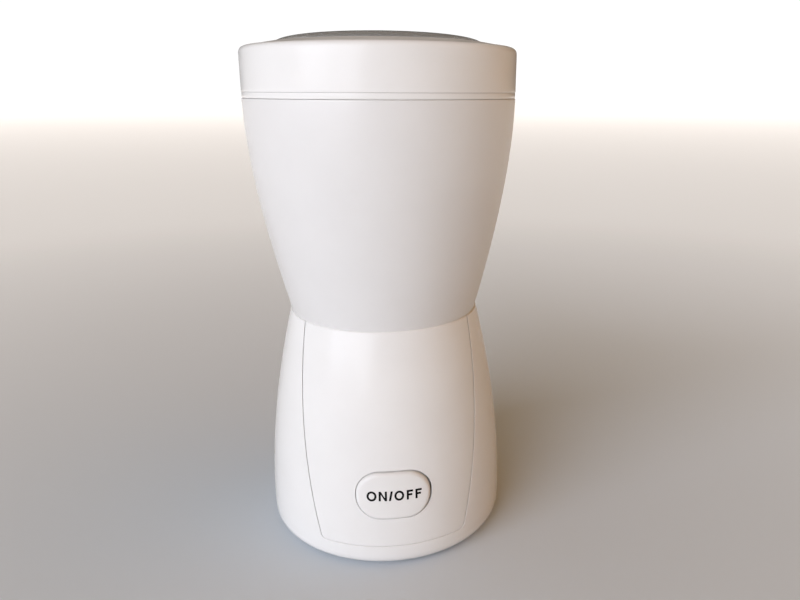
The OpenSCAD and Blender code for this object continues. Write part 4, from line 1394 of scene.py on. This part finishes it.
@dataclass
class Upper(Assembly):
    """Upper casing, the ring on top of it and the steel bowl inside."""

    form: Form
    steps: int = 192
    deck_z: float = 92.0
    deck_t: float = 2.5
    column_r: float = 10.5
    bore_r: float = 8.0
    sleeve_h: float = 7.6
    sleeve_t: float = 2.0
    lip_h: float = 0.5
    floor_z: float = 118.8
    floor_r: float = 33.0
    mouth_r: float = 39.6
    corner_h: float = 7.2
    lean: float = 0.6
    upright_share: float = 0.3
    sheet: float = 0.8
    flange_r: float = 43.2
    flange_z: float = 163.4
    shelf_z: tuple[float, float] = (160.0, 162.0)
    shelf_r: float = 40.9
    ring_h: float = 1.5
    ring_step: float = 0.12
    ring_drop: float = 0.5
    ring_gap: float = 0.4
    spigot_r: float = 45.3
    slot_w: float = 8.6
    slot_y: tuple[float, float] = (43.2, 45.3)
    overrun: float = 1.0
    socket_x: float = 21.5
    socket_r: float = 4.5
    socket_rise: tuple[float, float, float] = (0.5, 9.0, 12.0)
    screw_r: float = 2.0
    gap: float = 0.1
    seal_gap_r: float = 5.1

    def build(self) -> list[bpy.types.Object]:
        """Builds the casing, the ring and the bowl.

        Returns:
            The pieces, dressed and riding on the frame.
        """
        return [self.mount(self.casing(), "satin_white", "upper_casing"),
                self.mount(self.ring(), "gloss_white", "bowl_ring"),
                self.mount(self.bowl(), "polished_steel", "grinding_bowl")]

    def casing(self) -> bpy.types.Object:
        """The flared casing with its sleeve, motor deck, column and bowl shelf, as one section.

        Returns:
            The casing, with the slot for the lid's tab.
        """
        form, deck, (shelf_low, shelf_high) = self.form, self.deck_z + self.deck_t, self.shelf_z
        line = form.flare_line()
        drawn_in = [(r - form.wall, z) for r, z in line][::-1]
        lip_z = form.z_seam - self.ring_drop
        lip_low, lip_r = lip_z - self.lip_h, form.lid_r - form.wall
        lip = rounded([(form.lid_r, lip_low, 0.0), (form.lid_r, lip_z, 0.26), (lip_r, lip_z, 0.2),
                       (lip_r, lip_low, 0.0)], 3)
        above = [p for p in drawn_in if shelf_high < p[1] < lip_low]
        between = [p for p in drawn_in if deck < p[1] < shelf_low]
        shelf = [(above[-1][0], shelf_high), *rounded([(self.shelf_r, shelf_high, 0.3),
                 (self.shelf_r, shelf_low, 0.3)], 3), (between[0][0], shelf_low)]
        top_z = self.floor_z - self.sheet
        column = [(between[-1][0], deck), (self.column_r, deck), (self.column_r, top_z), (self.bore_r, top_z),
                  (self.bore_r, self.deck_z)]
        sleeve_r = form.waist_r - form.wall - self.gap
        foot_z = form.z_waist - self.sleeve_h
        inner_r = sleeve_r - self.sleeve_t
        sleeve = [(inner_r, self.deck_z), (inner_r, foot_z), (sleeve_r, foot_z), (sleeve_r, form.z_waist)]
        outline = [p for p in line if p[1] < lip_low] + lip + above + shelf + between + column + sleeve
        skin = Skin()
        skin.turned(outline, self.steps)
        low, step, high = (self.deck_z + rise for rise in self.socket_rise)
        socket = [(0.0, step), (self.screw_r, step), (self.screw_r, low), (self.socket_r, low),
                  (self.socket_r, high), (0.0, high)]
        for x in (-self.socket_x, self.socket_x):
            skin.turned(socket, 40, at=(x, 0.0, 0.0), ring=False)
        piece = skin.make("upper_casing_shell")
        self.slot(piece, shelf_low, shelf_high)
        return piece

    def slot(self, piece: bpy.types.Object, low: float, high: float) -> None:
        """Cuts the slot for the lid's tab through a piece, and past it at both ends."""
        half, (near, far) = self.slot_w / 2, self.slot_y
        carve(piece, block((-half, near, low - self.overrun), (half, far, high + self.overrun)))

    def ring(self) -> bpy.types.Object:
        """The narrow ring under the lid, with its spigot and the slot for the lid's tab.

        Returns:
            The ring.
        """
        seam = self.form.z_seam
        outer, flange_r = self.form.lid_r - self.ring_step, self.flange_r + 2 * self.gap
        inner, low = self.mouth_r + self.ring_gap, self.shelf_z[1] + self.gap
        top, under = seam + self.ring_h, seam - self.ring_drop + self.gap
        corners = [(inner, seam, 0.15), (flange_r, seam, 0.1), (flange_r, low, 0.2),
                   (self.spigot_r, low, 0.3), (self.spigot_r, under, 0.1), (outer, under, 0.16),
                   (outer, top, 0.12), (inner, top, 0.3)]
        skin = Skin()
        skin.turned(rounded(corners, 4), self.steps)
        piece = skin.make("bowl_ring_shell")
        self.slot(piece, self.shelf_z[1], top)
        return piece

    def bowl(self) -> bpy.types.Object:
        """The spun bowl: flange with a rolled edge, slightly tapered wall, round corner and flat floor.

        Returns:
            The bowl.
        """
        lip, roll = self.flange_z + self.sheet, self.sheet / 2
        wall = [(self.mouth_r + 0.5, lip), (self.mouth_r + 0.15, lip - 0.1), (self.mouth_r, lip - 0.5),
                (self.mouth_r, self.flange_z - roll)]
        corner = bend((self.floor_r, self.floor_z + self.corner_h), (self.floor_r - self.lean, self.floor_z),
                      (self.floor_r - self.corner_h, self.floor_z), 24)
        middle = ((wall[-1][0] + corner[0][0]) / 2, (wall[-1][1] + corner[0][1]) / 2)
        inside = wall + bend(wall[-1], middle, corner[0], 16)[1:-1] + corner
        upright = self.floor_z + self.corner_h * self.upright_share
        outside = [(r + self.sheet, z) if z > upright else (r, z - self.sheet) for r, z in inside[:3:-1]]
        hole = [(self.seal_gap_r, self.floor_z), (self.seal_gap_r, self.floor_z - self.sheet)]
        outer_r = self.mouth_r + self.sheet
        flange = [(outer_r, self.flange_z - roll), (outer_r + 0.2, self.flange_z),
                  *arc((self.flange_r - roll, self.flange_z + roll), roll, -90, 90, 8)]
        skin = Skin()
        skin.turned(inside + hole + outside + flange, self.steps)
        return skin.make("grinding_bowl_spun")


# ---------- lid ----------


@dataclass
class Lid(Assembly):
    """White lid ring and its smoke window."""

    body: ClassVar[Body] = Body.LID
    form: Form
    steps: int = 192
    z_lid: float = 165.95
    wall_h: float = 12.35
    roof_rise: float = 3.9
    dome_rise: float = 3.3
    thickness: float = 2.0
    window_r: float = 36.5
    dome_fullness: float = 0.88
    window_t: float = 1.6
    window_gap: float = 0.1
    shoulder_r: float = 3.3
    shoulder_rise: float = 2.5
    roof_steps: int = 12
    rim_round: float = 0.5
    liner_r: float = 38.9
    liner_low: float = 161.0
    tab_w: float = 7.6
    tab_y: tuple[float, float] = (43.6, 44.9)
    tab_low: float = 156.3
    tab_rise: float = 8.0
    tab_lap: float = 0.4
    web_t: float = 1.6
    web_sunk: float = 0.6
    post_round: float = 0.3
    post_share: float = 0.94

    @property
    def z_shoulder(self) -> float:
        """Height at which the upright wall ends."""
        return self.z_lid + self.wall_h

    @property
    def z_crown(self) -> float:
        """Height at which the rounded shoulder ends."""
        return self.z_shoulder + self.shoulder_rise

    @property
    def z_roof(self) -> float:
        """Height of the roof at the window's edge."""
        return self.z_shoulder + self.roof_rise

    def build(self) -> list[bpy.types.Object]:
        """Builds the lid's shell and window.

        Returns:
            Both pieces, riding on the lid's body.
        """
        return [self.mount(self.shell(), "gloss_white", "lid_shell"),
                self.mount(self.window(), "smoke_window", "lid_window")]

    def shell(self) -> bpy.types.Object:
        """The shell: upright wall, rounded shoulder and sloping roof, with the tab at the rear.

        Returns:
            The shell.
        """
        lid_r, crown = self.form.lid_r, self.z_crown
        inner_r, foot_z = lid_r - self.thickness, self.z_lid + 1.0
        shoulder = bend((lid_r, self.z_shoulder), (lid_r, crown), (lid_r - self.shoulder_r, crown), 20)
        foot = rounded([(inner_r, foot_z, 0.0), (inner_r, self.z_lid, 0.3), (lid_r, self.z_lid, 0.12),
                        (lid_r, foot_z, 0.0)], 5)
        (eave_r, eave_z), rim_r, steps = shoulder[-1], self.window_r + self.rim_round, self.roof_steps
        roof = [(eave_r + (rim_r - eave_r) * i / steps, eave_z + (self.z_roof - eave_z) * i / steps)
                for i in range(1, steps + 1)]
        rim = arc((rim_r, self.z_roof - self.rim_round), self.rim_round, 90, 180, 6)
        under = crown - self.thickness
        corner = rounded([(inner_r - 1.5, under, 0.0), (inner_r, under, 1.0), (inner_r, under - 1.5, 0.0)], 6)
        inside = [(self.window_r, self.z_roof - self.thickness), *corner]
        skin = Skin()
        skin.turned(foot + shoulder + roof + rim + inside, self.steps)
        self.tab(skin, inner_r)
        return skin.make("lid_shell_moulded")

    def tab(self, skin: Skin, inner_r: float) -> None:
        """Adds the tab that presses the interlock pin, with its two webs.

        Args:
            skin: The lid's mesh.
            inner_r: Inner radius of the lid's wall.
        """
        y0, y1 = self.tab_y
        half, lap, web_t = self.tab_w / 2, self.tab_lap, self.web_t
        top = self.z_lid + self.tab_rise
        section = rounded([(-half, y0, 0.3), (half, y0, 0.3), (half, y1, 0.3), (-half, y1, 0.3)], 3)
        self.post(skin, section, self.tab_low, top)
        reach = math.sqrt((inner_r + self.web_sunk) ** 2 - half**2)
        for x in (-half, half - web_t):
            web = [(x, y1 - lap), (x + web_t, y1 - lap), (x + web_t, reach), (x, reach)]
            self.post(skin, web, self.z_lid + lap, top)

    def post(self, skin: Skin, section: Sequence[Point], low: float, high: float) -> None:
        """Adds an upright prism with slightly rounded ends.

        Args:
            skin: The lid's mesh.
            section: The prism's section.
            low: Height of its foot.
            high: Height of its top.
        """
        centre, end = np.mean(section, axis=0), self.post_round
        levels = ((low, self.post_share), (low + end, 1.0), (high - end, 1.0), (high, self.post_share))
        skin.swept([np.array([(*(centre + (np.array(p) - centre) * share), z) for p in section])
                    for z, share in levels])

    def window(self) -> bpy.types.Object:
        """The domed window, its hidden flange and the liner that dips into the bowl.

        Returns:
            The window.
        """
        edge_r, t = self.window_r - self.window_gap, self.window_t
        z_top = self.z_roof + self.dome_rise
        step = self.z_crown - self.thickness - 0.6
        low, inner_r = step - t, self.liner_r - t
        full_r = edge_r * self.dome_fullness
        dome = bend((0.0, z_top), (full_r, z_top), (edge_r - 0.4, self.z_roof + 0.06), 40)
        flange_r = self.form.lid_r - self.thickness - 1.5
        corners = [(edge_r, self.z_roof - 0.05, 0.3), (edge_r, step, 0.3), (flange_r, step, 0.2),
                   (flange_r, low, 0.2), (self.liner_r, low, 0.5), (self.liner_r, self.liner_low, 0.4),
                   (inner_r, self.liner_low, 0.4), (inner_r, low, 1.2), (edge_r - t, low, 1.2),
                   (edge_r - t, self.z_roof - t, 1.2)]
        body = rounded(corners, 6)
        under = [(r, z - t) for r, z in dome[::-1] if r < edge_r - t - 0.6]
        skin = Skin()
        skin.turned(dome + body + under, self.steps, ring=False)
        return skin.make("lid_window_clear")


# ---------- blade ----------


@dataclass
class Blade(Assembly):
    """The two-armed blade on the shaft."""

    body: ClassVar[Body] = Body.ROTOR
    length: float = 27.0
    tip_l: float = 10.3
    width: float = 11.0
    tip_width: float = 8.0
    thickness: float = 1.5
    z: float = 124.0
    rises: tuple[float, float] = (24.0, 10.0)
    bevel: float = 2.4
    edge_t: float = 0.15
    bend_r: float = 2.0
    bend_steps: int = 24
    nose_r: float = 1.6
    plain_bevel: float = 0.2
    taper_from: float = 0.35
    ground_from: tuple[float, float] = (8.0, 11.0)
    shaft_r: float = 3.0

    def build(self) -> list[bpy.types.Object]:
        """Builds the blade.

        Returns:
            The blade, riding on the rotor.
        """
        skin = Skin()
        skin.swept([self.station(s) for s in self.places()])
        piece = skin.make("blade_ground")
        carve(piece, rod(self.shaft_r, (self.z - 2, self.z + 4), 64))
        return [self.mount(piece, "polished_steel", "blade")]

    def places(self) -> list[float]:
        """Distances along the blade at which it has a section.

        Returns:
            The distances, closer together over the last fifth of each arm.
        """
        half = [self.length * (i / 40) for i in range(33)]
        half += [self.length * (1 - 0.2 * (1 - i / 16) ** 2) for i in range(1, 17)]
        return [-s for s in half[:0:-1]] + half

    def centreline(self, s: float) -> tuple[float, float, float]:
        """Middle of the blade's underside at a distance along it.

        Args:
            s: Distance from the shaft, negative on the flatter arm.

        Returns:
            Its x and height, and the slope there in radians.
        """
        rise = math.radians(self.rises[0] if s > 0 else self.rises[1])
        flat = self.length - self.tip_l
        bend_l = 2 * self.bend_r
        run = min(max(abs(s) - flat + self.bend_r, 0.0), bend_l)
        slope = rise * run / bend_l
        x, z = min(abs(s), flat - self.bend_r), 0.0
        beyond = max(abs(s) - (flat - self.bend_r), 0.0)
        for i in range(self.bend_steps):
            here = rise * min(beyond * (i + 0.5) / self.bend_steps, bend_l) / bend_l
            x += beyond / self.bend_steps * math.cos(here)
            z += beyond / self.bend_steps * math.sin(here)
        return math.copysign(x, s), z, math.copysign(slope, s) if s else 0.0

    def station(self, s: float) -> np.ndarray:
        """Six corners of the blade's section.

        Args:
            s: Distance from the shaft, negative on the flatter arm.

        Returns:
            The corners, with the ground edge leading.
        """
        x, z, slope = self.centreline(s)
        end = smoothstep(abs(s), self.length * self.taper_from, self.length)
        half = (self.width + (self.tip_width - self.width) * end) / 2
        left, nose, plain = self.length - abs(s), self.nose_r, self.plain_bevel
        if left < nose:
            half = half - nose + math.sqrt(max(nose**2 - (nose - left) ** 2, 0.0))
        ground = smoothstep(abs(s), *self.ground_from)
        bevel = self.bevel * ground + plain * (1 - ground)
        thin = self.thickness - (self.thickness - self.edge_t) * ground
        edges = ((half, 0.0), (half, thin), (half - bevel, self.thickness), (-half + plain, self.thickness),
                 (-half, self.thickness - plain), (-half, 0.0))
        section = [(y, up) for y, up in edges] if s >= 0 else [(-y, up) for y, up in edges[::-1]]
        sine, cosine = math.sin(slope), math.cos(slope)
        return np.array([(x - sine * up, y, self.z + z + cosine * up) for y, up in section])


# ---------- carried-over pieces ----------


@dataclass
class Works:
    """Everything that keeps its CAD form: motor, switch, interlock, screws and seals."""

    palette: Palette
    spring: str = "button_spring"
    pressed: str = "button_press"

    def build(self) -> list[str]:
        """Dresses each CAD node in its own finish.

        Returns:
            The nodes' names.
        """
        for part in frame["record"]["subparts"]:
            self.palette.dress(frame["nodes"][part["node"]], part["material_slot"])
        self.sprung()
        return [part["node"] for part in frame["record"]["subparts"]]

    def sprung(self) -> None:
        """Gives the button's spring a mesh of its own."""
        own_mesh(frame["nodes"][self.spring])


# ---------- studio ----------


@dataclass(frozen=True)
class Lamp:
    """A lamp like a bright patch of sky, which looks at the grinder; places are in metres."""

    name: str
    place: Place
    spread: float
    power: float
    colour: Colour
    target: Place = (0.0, 0.0, 0.09)

    def build(self) -> None:
        """Hangs the lamp, facing its target; its spread is in degrees."""
        data = bpy.data.lights.new(self.name, "SUN")
        data.energy = self.power
        data.color = self.colour
        data.angle = math.radians(self.spread)
        lamp = bpy.data.objects.new(self.name, data)
        lamp.location = self.place
        aim = Vector(self.target) - Vector(self.place)
        lamp.rotation_euler = aim.to_track_quat("-Z", "Y").to_euler()
        bpy.context.scene.collection.objects.link(lamp)


@dataclass(frozen=True)
class Side:
    """One side of the surroundings.

    It says where the side lies, how near to it its colour starts and holds, and the colour.
    """

    name: str
    towards: Place
    reach: tuple[float, float]
    colour: Colour


@dataclass
class Studio:
    """Camera, floor, backdrop, lamp and surroundings, in metres."""

    camera_place: Place = (-0.01321, -0.26088, 0.16698)
    camera_heading: float = 7.332
    camera_pitch: float = -16.755
    camera_roll: float = 0.2
    lens: float = 31.5
    sensor: float = 36.0
    shift: float = -0.04507
    clip: tuple[float, float] = (0.01, 50.0)
    sides: tuple[Side, ...] = (
        Side("dark end", (0.09, 0.996, 0.0), (0.66, 0.82), (0.12, 0.11, 0.1)),
        Side("ceiling", (0.0, 0.0, 1.0), (0.12, 0.5), (0.24, 0.2, 0.16)),
        Side("warm wall", (0.8, -0.6, 0.0), (0.0, 0.6), (0.56, 0.265, 0.03)),
        Side("left flag", (-0.65, -0.65, 0.4), (0.45, 1.0), (0.2, 0.165, 0.11)),
        Side("front flag", (0.1, -0.9, 0.42), (0.55, 1.0), (0.14, 0.09, 0.035)),
    )
    walls: Colour = (0.26, 0.25, 0.21)
    floor_rings: tuple[float, ...] = (0.0, 0.2, 0.6, 2.0, 12.0)
    paper: Colour = (0.67, 0.72, 0.78)
    paper_roughness: float = 0.85
    # Painted light: strength and reach of the floor's glow, near the grinder and far off.
    glow: float = 0.34
    glow_tint: Colour = (1.0, 0.93, 0.86)
    glow_reach: tuple[float, float] = (0.03, 0.7)
    far_glow: float = 0.5
    far_glow_reach: tuple[float, float] = (0.7, 5.0)
    screen_r: float = 9.0
    screen_span: tuple[float, float] = (-0.5, 12.0)
    spread: float = 0.01
    steps: int = 96
    lamp: Lamp = Lamp("window_lamp", (-0.646, -0.718, 0.3488), 54.0, 3.12, (0.95, 1.0, 1.1))

    def build(self) -> None:
        """Sets up everything round the grinder."""
        self.camera()
        self.floor()
        self.screen()
        self.surroundings()
        self.lamp.build()
        view = bpy.context.scene.view_settings
        view.view_transform = "Standard"
        view.look = "None"
        view.exposure = 0.0

    def camera(self) -> None:
        """Places the camera a little above the lid's foot, turned and tilted towards the grinder."""
        data = bpy.data.cameras.new("camera")
        data.lens = self.lens
        data.sensor_width = self.sensor
        data.shift_x = self.shift
        data.clip_start, data.clip_end = self.clip
        camera = bpy.data.objects.new("camera", data)
        pitch, heading = math.radians(self.camera_pitch), math.radians(self.camera_heading)
        level = math.cos(pitch)
        aim = Vector((math.sin(heading) * level, math.cos(heading) * level, math.sin(pitch)))
        roll = Quaternion((0.0, 0.0, 1.0), math.radians(self.camera_roll))
        camera.location = self.camera_place
        camera.rotation_euler = (aim.to_track_quat("-Z", "Y") @ roll).to_euler()
        bpy.context.scene.collection.objects.link(camera)
        bpy.context.scene.camera = camera

    def floor(self) -> None:
        """Lays a sheet of pale paper with painted light: it glows faintly, more so far from the grinder."""
        skin = Skin()
        skin.turned([(radius / MM, 0.0) for radius in self.floor_rings], self.steps, ring=False)
        floor = skin.make("floor")
        if floor.data.polygons[0].normal.z < 0:
            floor.data.flip_normals()
        graph = Surface("floor_paper")
        far = graph.distance(graph.place)
        # Painted light: the paper's emission grows with the distance from the grinder, so the floor looks
        # brighter far off.
        glow = graph.remap(far, 0.0, self.glow, self.glow_reach)
        far_glow = graph.remap(far, 0.0, self.far_glow, self.far_glow_reach)
        graph.shade({
            "Base Color": graph.cloudy(graph.noise(3.0, 2.0), self.paper, self.spread),
            "Roughness": self.paper_roughness,
            "Emission Color": (*self.glow_tint, 1.0),
            "Emission Strength": graph.add("ShaderNodeMath", {0: glow, 1: far_glow},
                                           operation="ADD").outputs["Value"],
        })
        floor.data.materials.append(graph.material)

    def screen(self) -> None:
        """Stands a white screen all round, far off, that lights nothing."""
        skin = Skin()
        outline = [(self.screen_r / MM, height / MM) for height in self.screen_span]
        skin.turned(outline, self.steps, ring=False)
        screen = skin.make("screen")
        graph = Surface("lit_screen")
        graph.shade({
            "Base Color": (0.0, 0.0, 0.0, 1.0),
            "Emission Color": (1.0, 1.0, 1.0, 1.0),
            "Emission Strength": graph.remap(graph.noise(0.2, 1.0), 1 - self.spread, 1 + self.spread),
        })
        screen.data.materials.append(graph.material)
        screen.visible_diffuse = False
        screen.visible_glossy = False
        screen.visible_shadow = False

    def surroundings(self) -> None:
        """Lights the studio from all round, each side in its own colour."""
        world = bpy.data.worlds.new("studio")
        bpy.context.scene.world = world
        world.use_nodes = True
        graph = Graph(world.node_tree)
        place = graph.add("ShaderNodeTexCoord").outputs["Generated"]
        colour: Colour | Socket = self.walls
        for side in self.sides:
            axis = Vector(side.towards).normalized()
            near = graph.add("ShaderNodeVectorMath", {0: place, 1: axis}, operation="DOT_PRODUCT")
            inputs = {"Value": near.outputs["Value"], "From Min": side.reach[0], "From Max": side.reach[1]}
            share = graph.add("ShaderNodeMapRange", inputs, interpolation_type="SMOOTHSTEP")
            colour = graph.mix(share.outputs["Result"], colour, side.colour)
        lit = graph.add("ShaderNodeBackground", {"Color": colour})
        graph.add("ShaderNodeOutputWorld", {"Surface": lit.outputs["Background"]})


def main() -> None:
    """Builds the studio and then each sub-assembly of the grinder."""
    logging.basicConfig(level=logging.INFO, format="%(name)s: %(message)s")
    form, palette = Form(), Palette()
    Studio().build()
    for node in Works(palette).build():
        log.info("dressed %s", node)
    shells = (Base(palette, form), Button(palette, form), Upper(palette, form), Lid(palette, form))
    for assembly in (*shells, Blade(palette)):
        for piece in assembly.build():
            log.info("built %s with %d faces", piece.name, len(piece.data.polygons))


if __name__ == "__main__":
    main()
